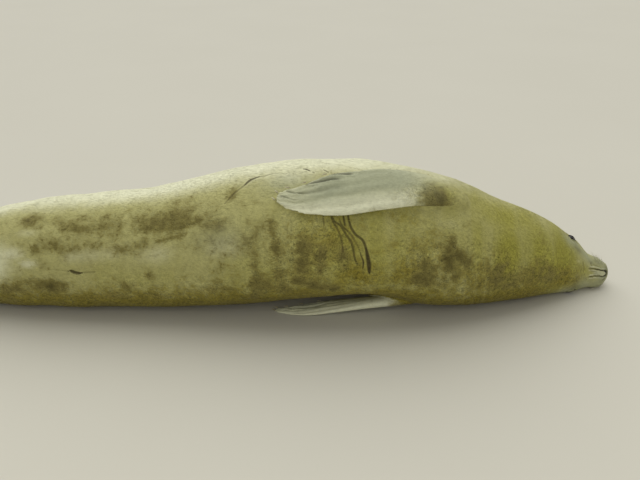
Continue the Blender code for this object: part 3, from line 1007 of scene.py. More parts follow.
# Scars, nicks, slits and folds.
STROKES = (
    # Fresh scars behind the neck, side by side.
    Stroke(((0.976, 41), (0.975, 37), (0.973, 33)), 0.0044, 0.001, 0.55),
    Stroke(
        ((0.954, 41), (0.948, 36), (0.938, 32), (0.927, 26), (0.922, 20), (0.919, 14)),
        0.005, 0.0014, 0.58,
    ),
    Stroke(
        ((0.93, 38), (0.922, 33), (0.905, 29), (0.884, 22), (0.873, 16), (0.868, 12)),
        0.0046, 0.001, 0.4,
    ),
    Stroke(
        (
            (0.951, 40), (0.943, 36), (0.926, 33), (0.909, 26),
            (0.897, 22), (0.89, 16), (0.886, 10), (0.878, 5),
        ),
        0.0056, 0.0016, 0.66,
    ),
    Stroke(
        (
            (0.906, 41), (0.903, 37), (0.897, 32), (0.884, 27), (0.864, 23),
            (0.854, 17), (0.848, 10), (0.843, 3), (0.842, -3),
        ),
        0.0062, 0.002, 0.8,
    ),
    Stroke(((0.853, 16), (0.845, 6), (0.842, -2)), 0.01, 0.002, 0.95),
    Stroke(((0.919, 40), (0.917, 37), (0.914, 33)), 0.005, 0.001, 0.8),
    Stroke(((0.87, 13), (0.861, 7), (0.862, 1)), 0.0044, 0.001, 0.7),
    # An old scar that curves over the flank.
    Stroke(
        (
            (1.262, 55), (1.248, 60), (1.236, 64), (1.214, 69),
            (1.193, 75), (1.173, 78), (1.151, 78), (1.128, 80),
        ),
        0.0056, 0.0016, 0.42,
    ),
    Stroke(((1.14, 79), (1.105, 80), (1.091, 78), (1.08, 79)), 0.0036, 0.001, 0.4),
    Stroke(((1.206, 72), (1.192, 76), (1.172, 78)), 0.0074, 0.0018, 0.85),
    # Nicks above the folded flipper.
    Stroke(((1.036, 84), (1.026, 83), (1.014, 80)), 0.006, 0.0012, 0.9),
    Stroke(((1.008, 79), (1.001, 77)), 0.004, 0.001, 0.6),
    Stroke(((0.975, 82), (0.96, 78)), 0.0046, 0.001, 0.7),
    # The slit low on the belly and the creases on both its sides, darkened with painted shade.
    Stroke(((1.731, 7.5), (1.718, 5.5), (1.702, 4.5)), 0.0094, 0.0044, 0.9),
    Stroke(((1.8, 9), (1.765, 8), (1.735, 7)), 0.0046, 0.0018, 0.12),
    Stroke(((1.705, 5), (1.68, 5.5), (1.655, 6)), 0.005, 0.0022, 0.26),
    # Folds of skin behind the chin and on the lips, darkened with painted shade in the folds.
    Stroke(((0.117, 19), (0.113, 8), (0.111, 0), (0.114, -9)), 0.0056, 0.0024, 0.34),
    Stroke(((0.054, 3), (0.066, 6), (0.082, 5)), 0.0034, 0.0012, 0.26),
    Stroke(((0.044, -7), (0.058, -4), (0.07, -5)), 0.003, 0.0012, 0.34),
    Stroke(((0.038, 24), (0.052, 29), (0.068, 33)), 0.0034, 0.0012, 0.28),
    Stroke(((0.076, 24), (0.08, 31), (0.078, 38)), 0.004, 0.0014, 0.4),
    Stroke(((0.028, -30), (0.022, -24), (0.018, -20)), 0.005, 0.0014, 0.6),
)


@dataclass
class Markings:
    """The colours of this seal's coat and the lines in its skin."""

    body: Body
    # Turns over which the paler upper side begins and ends, and the distances to it; the paleness
    # is partly the coat's own colour and partly painted light along the top.
    upper_from: tuple[float, float] = (54, 100)
    upper_until: tuple[float, float] = (225, 275)
    upper_behind: tuple[float, float] = (0.16, 0.95)
    # The turn that lies on the floor, how far round it the darkening reaches, and where it ends;
    # the darkening is partly dirt from the ground and partly painted shade towards the floor.
    under_turn: float = -78
    under_reach: tuple[float, float] = (38, 92)
    under_behind: tuple[float, float] = (0.10, 0.35)
    under_until: tuple[float, float] = (2.05, 2.30)

    def _upper(self, s: Array, turn: Array) -> Array:
        """How far each place belongs to the upper side, which is paler: partly the coat's own
        colour, partly painted light along the top.
        """
        turn = np.mod(turn, 360)
        upper = ramp(turn, *self.upper_from) * (1 - ramp(turn, *self.upper_until))
        upper *= ramp(s, *self.upper_behind)
        return upper * (1 - 0.45 * ramp(turn, 112, 150))

    def _under(self, s: Array, turn: Array) -> Array:
        """How far each place belongs to the under side, which is darker: partly dirt from the
        ground, partly painted shade towards the floor.
        """
        under = 1 - ramp(np.abs(turn_gap(turn, self.under_turn)), *self.under_reach)
        under *= ramp(s, *self.under_behind) * (1 - ramp(s, *self.under_until))
        return under

    def masks(self, s: Array, turn: Array) -> dict[Mark, Array]:
        """How strongly each marking covers each place on the body.

        Args:
            s: distances behind the nose tip.
            turn: turns round the body.

        Returns:
            One array from 0 to 1 for each marking.
        """
        found = {mark: np.zeros(len(s)) for mark in Mark}
        for mark, rows in PATCHES.items():
            for row in rows:
                kind = Streak if isinstance(row[0], tuple) else Patch
                before, cover = found[mark], kind(*row).cover(self.body, s, turn)
                found[mark] = np.maximum(before, cover) + 0.25 * np.minimum(before, cover)
        # The upper side turns paler, partly as painted light along the top.
        upper, under = self._upper(s, turn), self._under(s, turn)
        found[Mark.PALE] += 0.85 * upper
        found[Mark.OLIVE] *= 1 - 0.60 * upper
        # The under side turns ochre, mottled and less pale: partly dirt, partly painted shade
        # towards the floor.
        found[Mark.OCHRE] = np.maximum(found[Mark.OCHRE], 0.88 * under)
        found[Mark.MOTTLE] = np.maximum(found[Mark.MOTTLE], 0.30 * under)
        found[Mark.PALE] *= 1 - 0.8 * under
        line, scar = found[Mark.LINE], found[Mark.SCAR]
        for stroke in STROKES:
            near, gap = stroke.trace(self.body, s, turn)
            line[near] = np.maximum(line[near], 1 - gap / 4)
            edge = 1 - ramp(gap, 3.0, 4.5)
            scar[near] = np.maximum(scar[near], stroke.ink * edge)
        return {mark: np.clip(value, 0.0, 1.0) for mark, value in found.items()}

    def cut(self, s: Array, turn: Array) -> Array:
        """How deep the lines go in at each place."""
        depth = np.zeros(len(s))
        for stroke in STROKES:
            near, gap = stroke.trace(self.body, s, turn)
            depth[near] = np.maximum(depth[near], stroke.depth * bell(gap, 1.3))
        return depth

    def on_line(self, s: Array, turn: Array) -> Array:
        """Whether a line runs through each place."""
        found = np.zeros(len(s), bool)
        for stroke in STROKES:
            near, gap = stroke.trace(self.body, s, turn)
            found[near[gap < 1.5]] = True
        return found


# ---- the skin ----
# Grooves at the trailing edge of a fore flipper, as shares of its length and places across it; each
# is darkened with painted shade.
FLIPPER_CREASES = (
    Crease(((0.54, -0.82), (0.6, -0.9), (0.68, -0.97)), 0.0056, 0.0026, 0.6),
    Crease(((0.59, -0.68), (0.66, -0.79), (0.755, -0.93)), 0.006, 0.0034, 0.75),
    Crease(((0.65, -0.48), (0.74, -0.62), (0.835, -0.86)), 0.0064, 0.0036, 0.7),
    Crease(((0.64, -0.06), (0.74, -0.14), (0.86, -0.36)), 0.011, 0.0024, 0.22),
    Crease(((0.82, -0.2), (0.88, -0.42), (0.93, -0.72)), 0.0054, 0.0024, 0.46),
    Crease(((0.87, 0.1), (0.92, -0.08), (0.96, -0.36)), 0.005, 0.002, 0.4),
    Crease(((0.42, -0.6), (0.5, -0.66), (0.6, -0.74)), 0.009, 0.001, 0.08),
)
# The rims and pits of the nostrils, the whiskers' roots and the ears, and the folds of the lids.
NOSTRIL = (Fold(0.0008, 0.0022, 0.0040), Fold(-0.0050, 0.0015))
FOLLICLE = (Fold(0.0004, 0.0028), Fold(-0.0010, 0.0011))
EAR = (Fold(0.0010, 0.0022, 0.0042), Fold(-0.0038, 0.0021))
LIDS = (
    Fold(0.0007, 0.0011, 0.0016),
    Fold(-0.0012, 0.0014, 0.0050),
    Fold(0.0008, 0.0022, 0.0082),
)
LID_CREASE = Fold(-0.0008, 0.0016, 0.0122)


@dataclass(frozen=True)
class Wrinkle:
    """A soft crease across the throat."""

    s: float
    turn: float
    around: float
    depth: float
    slant: float = 0.00035
    reach: float = 0.006

    def cut(self, s: Array, turn: Array) -> Array:
        """How deep it is at each place."""
        bend = self.s + self.slant * (turn - self.turn)
        return self.depth * bell(s - bend, self.reach) * bell(turn - self.turn, self.around)


@dataclass
class Skin:
    """One unbroken skin over the head, trunk, tail and flippers."""

    body: Body
    flippers: dict[str, Flipper]
    eyes: tuple[EyeSeat, ...]
    markings: Markings
    voxel: float = 0.005
    coat_depth: float = 0.0016
    lid: float = 0.0016
    fillet: float = 0.016
    cut_reach: float = 2e-5
    # What is divided finely: the head down to a distance; the scars, between two distances and
    # two turns; the fresh scars and the belly's slit, about a distance and a turn, each with its
    # reach; the skin so near an eye, at each level; and fore flippers behind a distance.
    fine_head: float = 0.215
    scarred: tuple[float, float, float, float] = (0.83, 1.29, -6.0, 88.0)
    raked: tuple[float, float, float, float] = (0.91, 0.09, 20, 30)
    slit: tuple[float, float, float, float] = (1.715, 0.09, 6, 9)
    fine_eye: tuple[float, float, float] = (0.045, 0.036, 0.027)
    fore_wrist: float = 0.60
    # How many soft waves of fat run under the skin, how long they are and how steep.
    waves: int = 26
    wave_length: tuple[float, float] = (0.05, 0.22)
    wave_height: float = 0.0018
    wave_seed: int = 11
    wrinkles: tuple[Wrinkle, ...] = (
        Wrinkle(0.505, -25, 30, 0.0016),
        Wrinkle(0.47, -30, 24, 0.0012),
        Wrinkle(0.535, -34, 22, 0.0010),
    )
    # Half of the mouth line from above the chin, and how far it is skewed to the right.
    mouth: Knots = (
        (0.0130, 0.0), (0.0146, 0.0046), (0.019, 0.0080), (0.031, 0.0101),
        (0.045, 0.0104), (0.060, 0.0116), (0.079, 0.0138), (0.097, 0.0152),
    )
    mouth_skew: Knots = (
        (0.012, -0.0050), (0.030, -0.0046), (0.045, -0.0006), (0.060, 0.0023), (0.080, 0.0048),
    )
    mouth_depth: float = 0.0044
    lip_height: float = 0.0009
    nostril: Knots = ((0.003, 0.0045), (0.0065, 0.0085), (0.012, 0.0110), (0.0175, 0.0105))

    def build(self) -> Object:
        """Makes the skin, with its folds, markings and unwrap."""
        flesh = self._smooth_flesh()
        mesh = self._fuse(flesh)
        self._refine(mesh)
        self._fit(mesh, flesh)
        bpy.data.objects.remove(flesh)
        self._mark(mesh)
        self._sculpt(mesh)
        self.mesh = mesh
        self.mesh_points, self.mesh_normals = corners_of(mesh), normals_of(mesh)
        self._store(mesh)
        self._unwrap(mesh)
        mesh.materials.clear()
        dress(mesh, CoatFinish())
        mesh.polygons.foreach_set("material_index", np.zeros(len(mesh.polygons), np.int32))
        piece = linked("skin", mesh)
        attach(piece, ROOT)
        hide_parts(*TRUNK_NODES, "lower_jaw", "tail", *FLIPPER_NODES)
        return piece

    def _smooth_flesh(self) -> Object:
        """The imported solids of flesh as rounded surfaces, with the cuts between them closed."""
        made = [self._rounded(TRUNK_NODES)]
        made += [self._rounded((name,)) for name in (*FLIPPER_NODES, "tail")]
        made.append(self._plug("lower_jaw", self.body.nodes["lower_jaw"].data, 0.0006))
        for eye in self.eyes:
            ball = bmesh.new()
            bmesh.ops.create_icosphere(ball, subdivisions=4, radius=eye.radius + self.lid)
            bmesh.ops.translate(ball, verts=ball.verts, vec=eye.centre)
            made.append(self._plug(f"lids_{eye.side}", mesh_from(ball, "ball"), 0.0))
        with bpy.context.temp_override(active_object=made[0], selected_editable_objects=made):
            bpy.ops.object.join()
        return made[0]

    def _rounded(self, names: tuple[str, ...]) -> Object:
        """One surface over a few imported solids, with its facets rounded off."""
        shape = bmesh.new()
        for name in names:
            shape.from_mesh(self.body.nodes[name].data)
        bmesh.ops.remove_doubles(shape, verts=shape.verts, dist=1e-5)
        if len(names) > 1:
            self._open_cuts(shape)
        bmesh.ops.join_triangles(
            shape,
            faces=shape.faces,
            angle_face_threshold=0.8,
            angle_shape_threshold=3.2,
            cmp_seam=False,
        )
        part = linked(f"rounded_{names[0]}", mesh_from(shape, names[0]))
        rounding = part.modifiers.new("rounding", "SUBSURF")
        rounding.levels = rounding.render_levels = 2
        apply_modifiers(part)
        return part

    def _open_cuts(self, shape: bmesh.types.BMesh) -> None:
        """Takes away the flat faces at the cuts of the trunk and joins the rings on both sides."""
        ends = [corner.x for name in TRUNK_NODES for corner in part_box(name)]
        cuts = sorted(ends)[1:-1]

        def on_cut(corners: list[bmesh.types.BMVert]) -> bool:
            """Whether all these corners lie on one cut."""
            return any(all(abs(v.co.x - cut) < self.cut_reach for v in corners) for cut in cuts)

        flat = [face for face in shape.faces if on_cut(face.verts)]
        bmesh.ops.delete(shape, geom=flat, context="FACES")
        near = [v for v in shape.verts if on_cut([v])]
        bmesh.ops.remove_doubles(shape, verts=near, dist=0.0009)

    def _plug(self, name: str, mesh: Mesh, grow: float) -> Object:
        """A copy of a mesh, grown outwards, that fills the room it sits in."""
        part = linked(f"plug_{name}", mesh.copy())
        swell = part.modifiers.new("swell", "DISPLACE")
        swell.strength = grow
        swell.mid_level = 0.0
        apply_modifiers(part)
        return part

    def _fuse(self, flesh: Object) -> Mesh:
        """One closed surface over all the rounded parts."""
        whole = linked("whole", flesh.data.copy())
        fuse = whole.modifiers.new("fuse", "REMESH")
        fuse.mode = "VOXEL"
        fuse.voxel_size = self.voxel
        mesh = evaluated(whole)
        bpy.data.objects.remove(whole)
        return mesh

    def _refine(self, mesh: Mesh) -> None:
        """Divides the faces of the head, the flippers and the scars more finely."""
        for level in range(3):
            shape = bmesh.new()
            shape.from_mesh(mesh)
            middles = np.array([face.calc_center_median() for face in shape.faces])
            wanted = self._wanted(middles, level)
            edges = {edge for face, want in zip(shape.faces, wanted) if want for edge in face.edges}
            bmesh.ops.subdivide_edges(shape, edges=list(edges), cuts=1, use_grid_fill=True)
            shape.to_mesh(mesh)
            shape.free()
            log.info("skin divided: %d faces", len(mesh.polygons))

    def _wanted(self, middles: Array, level: int) -> Array:
        """Which faces, given by their middles, are divided at one of the three levels."""
        s, turn = self.body.locate(middles)
        wanted = np.zeros(len(middles), bool)
        if level < 2:
            wanted |= s < self.fine_head * (1.0 if level == 0 else 0.52)
            at, along, middle, around = self.slit
            wanted |= (np.abs(s - at) < along) & (np.abs(turn - middle) < around)
            start, stop, low, high = self.scarred
            inside = (s > start) & (s < stop) & (turn > low) & (turn < high)
            at, along, middle, around = self.raked
            raked = np.hypot((s - at) / along, (turn - middle) / around) < 1.1
            wanted |= inside & raked if level else inside
        if level == 0:
            for name in FLIPPER_NODES:
                free = self.fore_wrist if name.startswith("fore") else HIND_FREE
                wanted |= within(middles, name, 0.004) & (s > free)
        for eye in self.eyes:
            wanted |= np.linalg.norm(middles - eye.centre, axis=1) < self.fine_eye[level]
        return wanted

    def _distances(self, points: Array, reach: float = 0.06) -> tuple[Array, Array]:
        """Distances of points to the nearest flipper and to the trunk, at most reach."""
        to_flipper = np.full(len(points), reach)
        graph = bpy.context.evaluated_depsgraph_get()
        for name in FLIPPER_NODES:
            near = within(points, name, reach)
            tree = BVHTree.FromObject(self.body.nodes[name], graph)
            to_flipper[near] = np.minimum(to_flipper[near], gather(points[near], tree, reach))
        to_trunk = np.zeros(len(points))
        near = to_flipper < reach
        gaps = [
            gather(points[near], BVHTree.FromObject(self.body.nodes[name], graph), reach)
            for name in ("neck", "chest", "belly", "hips")
        ]
        to_trunk[near] = np.min(gaps, axis=0)
        return to_flipper, to_trunk

    def _fit(self, mesh: Mesh, flesh: Object) -> None:
        """Smooths the surface, lays it on the rounded parts and rounds it where flippers join."""
        ends = edges_of(mesh)
        points = relax(corners_of(mesh), ends, np.full(len(mesh.vertices), 0.5), 4, 0.9)
        self.to_flipper, self.to_trunk = self._distances(points)
        joint = 1 - ramp(self.to_flipper, 0.3 * self.fillet, self.fillet)
        joint *= 1 - ramp(self.to_trunk, 0.3 * self.fillet, self.fillet)
        s, _ = self.body.locate(points)
        face = 1 - ramp(s, 0.16, 0.20)
        place_vertices(mesh, points)
        points = self._laid(mesh, flesh, (1 - joint) * (1 - 0.85 * face))
        points = relax(points, ends, np.full(len(points), 0.5), 2, 0.9)
        points = relax(points, ends, 0.6 * face, 10, 0.95)
        points = relax(points, ends, 0.6 * joint, 14)
        place_vertices(mesh, points)
        inset = self.coat_depth * (0.4 + 0.6 * ramp(s, 0.05, 0.30))
        self._settle(mesh, points - normals_of(mesh) * inset[:, None])

    def _laid(self, mesh: Mesh, flesh: Object, amounts: Array) -> Array:
        """The vertices of a mesh, laid on the flesh by their own amounts, in tenths."""
        cover = linked("cover", mesh)
        group = cover.vertex_groups.new(name="laid")
        tenths = np.round(amounts, 1)
        for amount in np.unique(tenths[tenths > 0]):
            group.add(np.flatnonzero(tenths == amount).tolist(), float(amount), "REPLACE")
        lay = cover.modifiers.new("lay", "SHRINKWRAP")
        lay.target = flesh
        lay.vertex_group = "laid"
        points = corners_of(evaluated(cover))
        bpy.data.objects.remove(cover)
        return points

    def _settle(self, mesh: Mesh, points: Array) -> None:
        """Moves the skin's vertices to new points, none of them lower than the floor allows."""
        points[:, 2] = np.maximum(points[:, 2], self.coat_depth * 0.5)
        place_vertices(mesh, points)

    def _raise(self, mark: Mark, cover: Array, where: Array | slice = slice(None)) -> None:
        """Makes one marking at least as strong as a cover, at some of the vertices."""
        values = self.masks[mark]
        values[where] = np.maximum(values[where], cover)

    def _lay_bare(self, chosen: Array, where: Array | slice = slice(None)) -> None:
        """Keeps tufts off the chosen ones of some vertices."""
        self.bare[where] = np.maximum(self.bare[where], chosen)

    def _mark(self, mesh: Mesh) -> None:
        """Works out where each marking lies on the skin."""
        points = corners_of(mesh)
        self.s, self.turn = self.body.locate(points)
        self.masks = self.markings.masks(self.s, self.turn)
        self.bare = np.zeros(len(points))
        self.relief = np.zeros(len(points))
        self.on_flipper = ramp(self.to_trunk - self.to_flipper, -0.004, 0.010)
        self.on_flipper *= ramp(self.to_trunk, 0.002, 0.010)
        for name, flipper in self.flippers.items():
            mine = np.flatnonzero(within(points, name, 0.01) & (self.on_flipper > 0.02))
            share, across = flipper.locate(points[mine])
            self._colour_flipper(flipper, mine, share, across)
            self.relief[mine] += self._digits(flipper, mine, share, across)
            if flipper.fore:
                self.relief[mine] += self._creases(flipper, mine, share, across)
            if flipper.folded:
                self._darken_folded_wrist(mine, share, across)

    def _colour_flipper(self, flipper: Flipper, mine: Array, share: Array, across: Array) -> None:
        """Gives one flipper its pale edges and its grey middle.

        Args:
            flipper: the flipper.
            mine: the skin's vertices that lie on it.
            share: how far along it they lie.
            across: where they lie across it.
        """
        own = self.on_flipper[mine] * ramp(share, 0.02, 0.30)
        for mark in (Mark.MOTTLE, Mark.OCHRE, Mark.OLIVE, Mark.LINE, Mark.SCAR):
            self.masks[mark][mine] *= 1 - own
        middle = ramp(share, 0.10, 0.40) * (1 - 0.6 * ramp(share, 0.70, 0.98))
        inner = 1 - ramp(np.abs(across + 0.26), 0.30, 1.0)
        grey = own * (0.12 + 0.78 * middle * inner)
        # The fore flipper on the floor gets less grey and a paler ground: partly its own pale
        # colour, partly painted light on its top, which lies in the belly's shade.
        grey *= 0.35 if flipper.on_floor else 1.0
        self.masks[Mark.SLATE][mine] *= 1 - own
        self._raise(Mark.SLATE, grey, mine)
        light = 0.88 if flipper.on_floor else 0.64
        light = light + 0.34 * ramp(across, 0.15, 0.75)
        self.masks[Mark.PALE][mine] += (light - self.masks[Mark.PALE][mine]) * own

    def _digits(self, flipper: Flipper, mine: Array, share: Array, across: Array) -> Array:
        """Heights of the ridges over one flipper's digits and of the hollows between them."""
        wave = np.cos(math.tau * (across - FIRST_DIGIT) / DIGIT_STEP)
        inner = ramp(0.98 - np.abs(across), 0.0, 0.16)
        held = ramp(share, 0.30, 0.62) * inner * self.on_flipper[mine]
        soft = 0.55 if flipper.on_floor else 0.80
        return (0.0009 * wave - 0.0008 * (0.5 - 0.5 * wave) ** 3) * soft * held

    def _creases(self, flipper: Flipper, mine: Array, share: Array, across: Array) -> Array:
        """Heights of the creases and of the notched trailing edge of a fore flipper; the creases
        are also darkened with painted shade.
        """
        held = self.on_flipper[mine]
        relief = np.zeros(len(mine))
        for crease in FLIPPER_CREASES:
            gap, cut = crease.trace(flipper, share, across)
            relief += crease.depth * (0.35 * bell(gap - 2.2, 0.9) - cut) * held
            # Painted shade along the crease.
            self._raise(Mark.INK, crease.ink * cut * held, mine)
        notch = 0.5 + 0.5 * np.cos(math.tau * (share - 0.60) / 0.085)
        edge = ramp(-across, 0.84, 0.98) * ramp(share, 0.50, 0.62)
        return relief - 0.0018 * notch * edge * held

    def _darken_folded_wrist(self, mine: Array, share: Array, across: Array) -> None:
        """Darkens the folded flipper near its upper wrist and in a spread beside it."""
        held = self.on_flipper[mine]
        # Darker near the upper wrist and beside it.
        wrist_dark = bell(share - 0.186, 0.080) * bell(across - 0.98, 0.78)
        wrist_spread = bell(share - 0.205, 0.110) * bell(across - 0.60, 0.90)
        ochre = bell(share - 0.34, 0.075) * bell(across - 0.45, 0.40)
        ochre += 0.5 * bell(share - 0.08, 0.05)
        self._raise(Mark.MOTTLE, (0.72 * wrist_dark + 0.42 * wrist_spread) * held, mine)
        self._raise(Mark.OCHRE, 0.55 * ochre * held, mine)
        self._raise(Mark.OLIVE, 0.8 * wrist_spread * held, mine)

    def _sculpt(self, mesh: Mesh) -> None:
        """Cuts and raises the small forms: lids, mouth, nostrils, ears, digits and folds."""
        points, normals = corners_of(mesh), normals_of(mesh)
        height = self._waves()
        height -= self.markings.cut(self.s, self.turn) * (1 - self.on_flipper)
        height += self.relief
        height += self._mouth(points, normals) + self._nostrils(points, normals)
        height += self._whisker_pads() + self._ears()
        points = points + normals * height[:, None]
        for eye in self.eyes:
            points = self._lids(points, eye)
        self._settle(mesh, points)

    def _waves(self) -> Array:
        """Heights of the soft unevenness of fat under the skin, and of the throat's wrinkles."""
        s, turn = self.s, self.turn
        arc = np.radians(turn) * 0.22
        rng = np.random.default_rng(self.wave_seed)
        height = np.zeros(len(s))
        for _ in range(self.waves):
            direction = rng.uniform(0, math.tau)
            length = rng.uniform(*self.wave_length)
            phase = rng.uniform(0, math.tau)
            run = s * math.cos(direction) + arc * math.sin(direction)
            height += np.sin(math.tau / length * run + phase) * self.wave_height * length
        height *= ramp(s, 0.25, 0.6) * (1 - self.on_flipper)
        for wrinkle in self.wrinkles:
            height -= wrinkle.cut(s, turn)
        return height

    def _mouth(self, points: Array, normals: Array) -> Array:
        """Heights of the mouth line and of the lips on both its sides; the line is painted dark as
        shade between the lips, widest at the front as painted shadow under the upper lip.
        """
        right, chin = self.body.head_axes()
        jaw_low, jaw_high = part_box("lower_jaw")
        side = (points - np.array(jaw_low + jaw_high) / 2) @ right
        side = side - np.interp(self.s, *np.transpose(self.mouth_skew))
        near = np.flatnonzero((self.s < 0.12) & (normals @ chin > -0.15))
        s, side = self.s[near], side[near]
        half = smooth_path(self.mouth)
        wander = np.sin(s * 330.0 + np.sign(side)) + 0.7 * np.sin(s * 780.0 + 2 * np.sign(side))
        gap, where = path_gap(s, np.abs(side) + 0.00035 * wander, half)
        reach = 1 - ramp(where, 0.86, 1.0)
        wide = 0.0014 + 0.0002 * wander * ramp(where, 0.1, 0.3)
        # The line widens at the front into a painted shadow under the upper lip.
        wide = wide + 0.0028 * bell(s - 0.015, 0.009)

        back = ramp(s, 0.045, 0.068)
        strength = np.where(side > 0, 1.0 - 0.72 * back, 0.72 - 0.22 * back)
        front = 1 - ramp(s, 0.017, 0.024)
        strength = np.maximum(strength, front) * (1.0 - 0.22 * wander * (1 - front))
        # Painted shade along the line between the lips.
        dark = bell(gap, 1.25 * wide) * reach * strength
        self._raise(Mark.INK, dark, near)
        self._lay_bare(dark > 0.35, near)
        lobe = np.abs(side) < np.interp(s, half[:, 0], half[:, 1])
        lobe = lobe * ramp(gap, 0.0, 0.004) * (1 - ramp(s, 0.055, 0.085))
        edge = bell(gap - 0.0056, 0.0032) * reach * ramp(where, 0.10, 0.30)
        self._colour_lips(near, gap, reach, lobe, edge)

        height = np.zeros(len(points))
        lips = self.lip_height * bell(gap - 0.0046, 0.0030)
        height[near] = (lips - self.mouth_depth * bell(gap, wide)) * reach
        return height

    def _colour_lips(self, near: Array, gap: Array, reach: Array, lobe: Array, edge: Array) -> None:
        """Colours the skin near the mouth line.

        Args:
            near: its vertices.
            gap: how far they are from the line.
            reach: how strong the line is beside them.
            lobe: how far they belong to the lower lip's pale front.
            edge: how far they belong to the lips' pale edges.
        """
        self._raise(Mark.WET, bell(gap, 0.004) * reach, near)
        self._raise(Mark.OCHRE, 0.4 * bell(gap - 0.003, 0.005) * reach, near)
        self._raise(Mark.PALE, np.maximum(0.62 * lobe, 0.70 * edge), near)
        self.masks[Mark.OLIVE][near] *= 1 - 0.7 * np.maximum(lobe, edge)
        self.masks[Mark.SLATE][near] *= 1 - 0.5 * lobe
        self._raise(Mark.SLATE, 0.40 * lobe, near)

    def _nostrils(self, points: Array, normals: Array) -> Array:
        """Heights of two slanting slits in the bare nose; they are painted dark as shade inside
        them.
        """
        right, chin = self.body.head_axes()
        side = (points - self.body.centre(self.s)) @ right
        faced = normals @ -chin + 0.75 * normals[:, 0]
        near = np.flatnonzero((self.s < 0.035) & (faced > 0.45))
        gap, _ = path_gap(self.s[near], np.abs(side[near]), smooth_path(self.nostril))
        nose = 1 - ramp(gap, 0.003, 0.010)
        # Painted shade inside the slits.
        self._raise(Mark.INK, bell(gap, 0.0019), near)
        self._raise(Mark.SLATE, 0.8 * nose, near)
        self._raise(Mark.WET, 0.8 * nose, near)
        self._lay_bare(nose > 0.6, near)
        height = np.zeros(len(points))
        height[near] = rise_of(NOSTRIL, gap)
        return height

    def follicles(self) -> list[tuple[float, float]]:
        """Where whiskers grow, as distance behind the nose tip and turn from the chin."""
        return [
            (0.020 + 0.0085 * column + 0.002 * (row % 2), 56 + 11.5 * row - 2.2 * column)
            for row in range(5)
            for column in range(4 if row in (0, 4) else 5)
        ]

    def _whisker_pads(self) -> Array:
        """Heights of the small pits that the whiskers grow from; they are dark."""
        height = np.zeros(len(self.s))
        near = np.flatnonzero(self.s < 0.075)
        s = self.s[near]
        arc = np.radians(np.abs(self.turn[near])) * np.maximum(self.body.girth(s), 0.01)
        for at, turn in self.follicles():
            level = math.radians(turn) * float(self.body.girth(at))
            gap = np.hypot(s - at, arc - level)
            height[near] += rise_of(FOLLICLE, gap)
            self._raise(Mark.INK, 0.62 * bell(gap, 0.0014), near)
        return height

    def _ears(self) -> Array:
        """Heights of the ear openings, which are small pits; they are painted dark as shade inside
        them.
        """
        height = np.zeros(len(self.s))
        for sign in (1, -1):
            arc = np.radians(turn_gap(self.turn, sign * EAR_TURN)) * self.body.girth(self.s)
            gap = np.hypot((self.s - EAR_PLACE) / 1.5, arc)
            height += rise_of(EAR, gap)
            # Painted shade inside the openings.
            self._raise(Mark.INK, 0.9 * bell(gap, 0.0021))
        return height

    def _lids(self, points: Array, eye: EyeSeat) -> Array:
        """Opens the skin over one eye and rounds its lids and the folds beside them.

        Args:
            points: the skin's vertices.
            eye: the eye's seat.

        Returns:
            The moved vertices.
        """
        near = np.flatnonzero(np.linalg.norm(points - eye.centre, axis=1) < 0.050)
        along, up, level = eye.local(points[near])
        across = np.hypot(along, up)
        gap = eye.margin(along, up)
        under = np.sqrt(np.maximum((eye.radius - 0.0030) ** 2 - across**2, 1e-8))
        over = np.sqrt(np.maximum((eye.radius + 0.0010) ** 2 - across**2, 0.0))
        wrap = bell(np.maximum(gap, 0.0), 0.0085)
        wrap *= 1 - ramp(across, 0.84 * eye.radius, 1.02 * eye.radius)
        lid = level + (over - level) * wrap
        lid = np.maximum(lid, np.where(across < 0.8 * eye.radius, over, 0.0))
        lid += rise_of(LIDS, gap)
        lid += LID_CREASE.rise(gap) * ramp(np.abs(up), 0.004, 0.012)
        # The tear duct runs forward from the inner corner.
        corner = eye.half_length
        duct_path = np.array([(corner - 0.001, -0.0004), (corner + 0.011, -0.0040)])
        duct, _ = path_gap(along, up, duct_path)
        lid -= 0.0016 * bell(duct, 0.0014)
        opened = ramp(gap, -0.0004, 0.0009)
        front = level > 0.0
        target = np.where(front, under + (lid - under) * opened, level)
        fade = 1 - ramp(across, 0.034, 0.046)
        moved = points.copy()
        moved[near] += eye.out * ((target - level) * fade)[:, None]

        rim = np.maximum(1 - ramp(gap, 0.0008, 0.0032), 0.9 * bell(duct, 0.0016)) * front
        shade = 0.45 * (1 - ramp(gap, 0.001, 0.006)) * front
        self._raise(Mark.INK, np.maximum(rim, shade * 0.5), near)
        self._raise(Mark.SLATE, shade, near)
        self._raise(Mark.WET, rim, near)
        self._lay_bare(rim > 0.25, near)
        return moved

    def _store(self, mesh: Mesh) -> None:
        """Writes the markings on the mesh, where the material reads them."""
        for mark, values in self.masks.items():
            store_values(mesh, mark.value, np.clip(values, 0.0, 1.0))
        store_values(mesh, "tuft", np.full(len(mesh.vertices), 0.5))

    def _unwrap(self, mesh: Mesh) -> None:
        """Unrolls the skin: the trunk opened along its left side, the flippers' faces beside it."""
        loops = loops_of(mesh)
        totals = np.empty(len(mesh.polygons), np.int32)
        mesh.polygons.foreach_get("loop_total", totals)
        owner = np.repeat(np.arange(len(totals)), totals)
        points, normals = corners_of(mesh), normals_of(mesh)
        chart = Chart(self)
        sheet = chart.sheet_of(points, normals)
        voted = np.zeros((len(totals), chart.count))
        np.add.at(voted, (owner, sheet[loops]), 1)
        face_sheet = voted.argmax(axis=1)
        cut_turn = self.turn[loops]
        first = np.concatenate([[0], np.cumsum(totals)[:-1]])
        lead = cut_turn[first][owner]
        cut_turn = lead + turn_gap(cut_turn - lead, 0.0)
        store_map(mesh, chart.spots(points[loops], cut_turn, face_sheet[owner]))


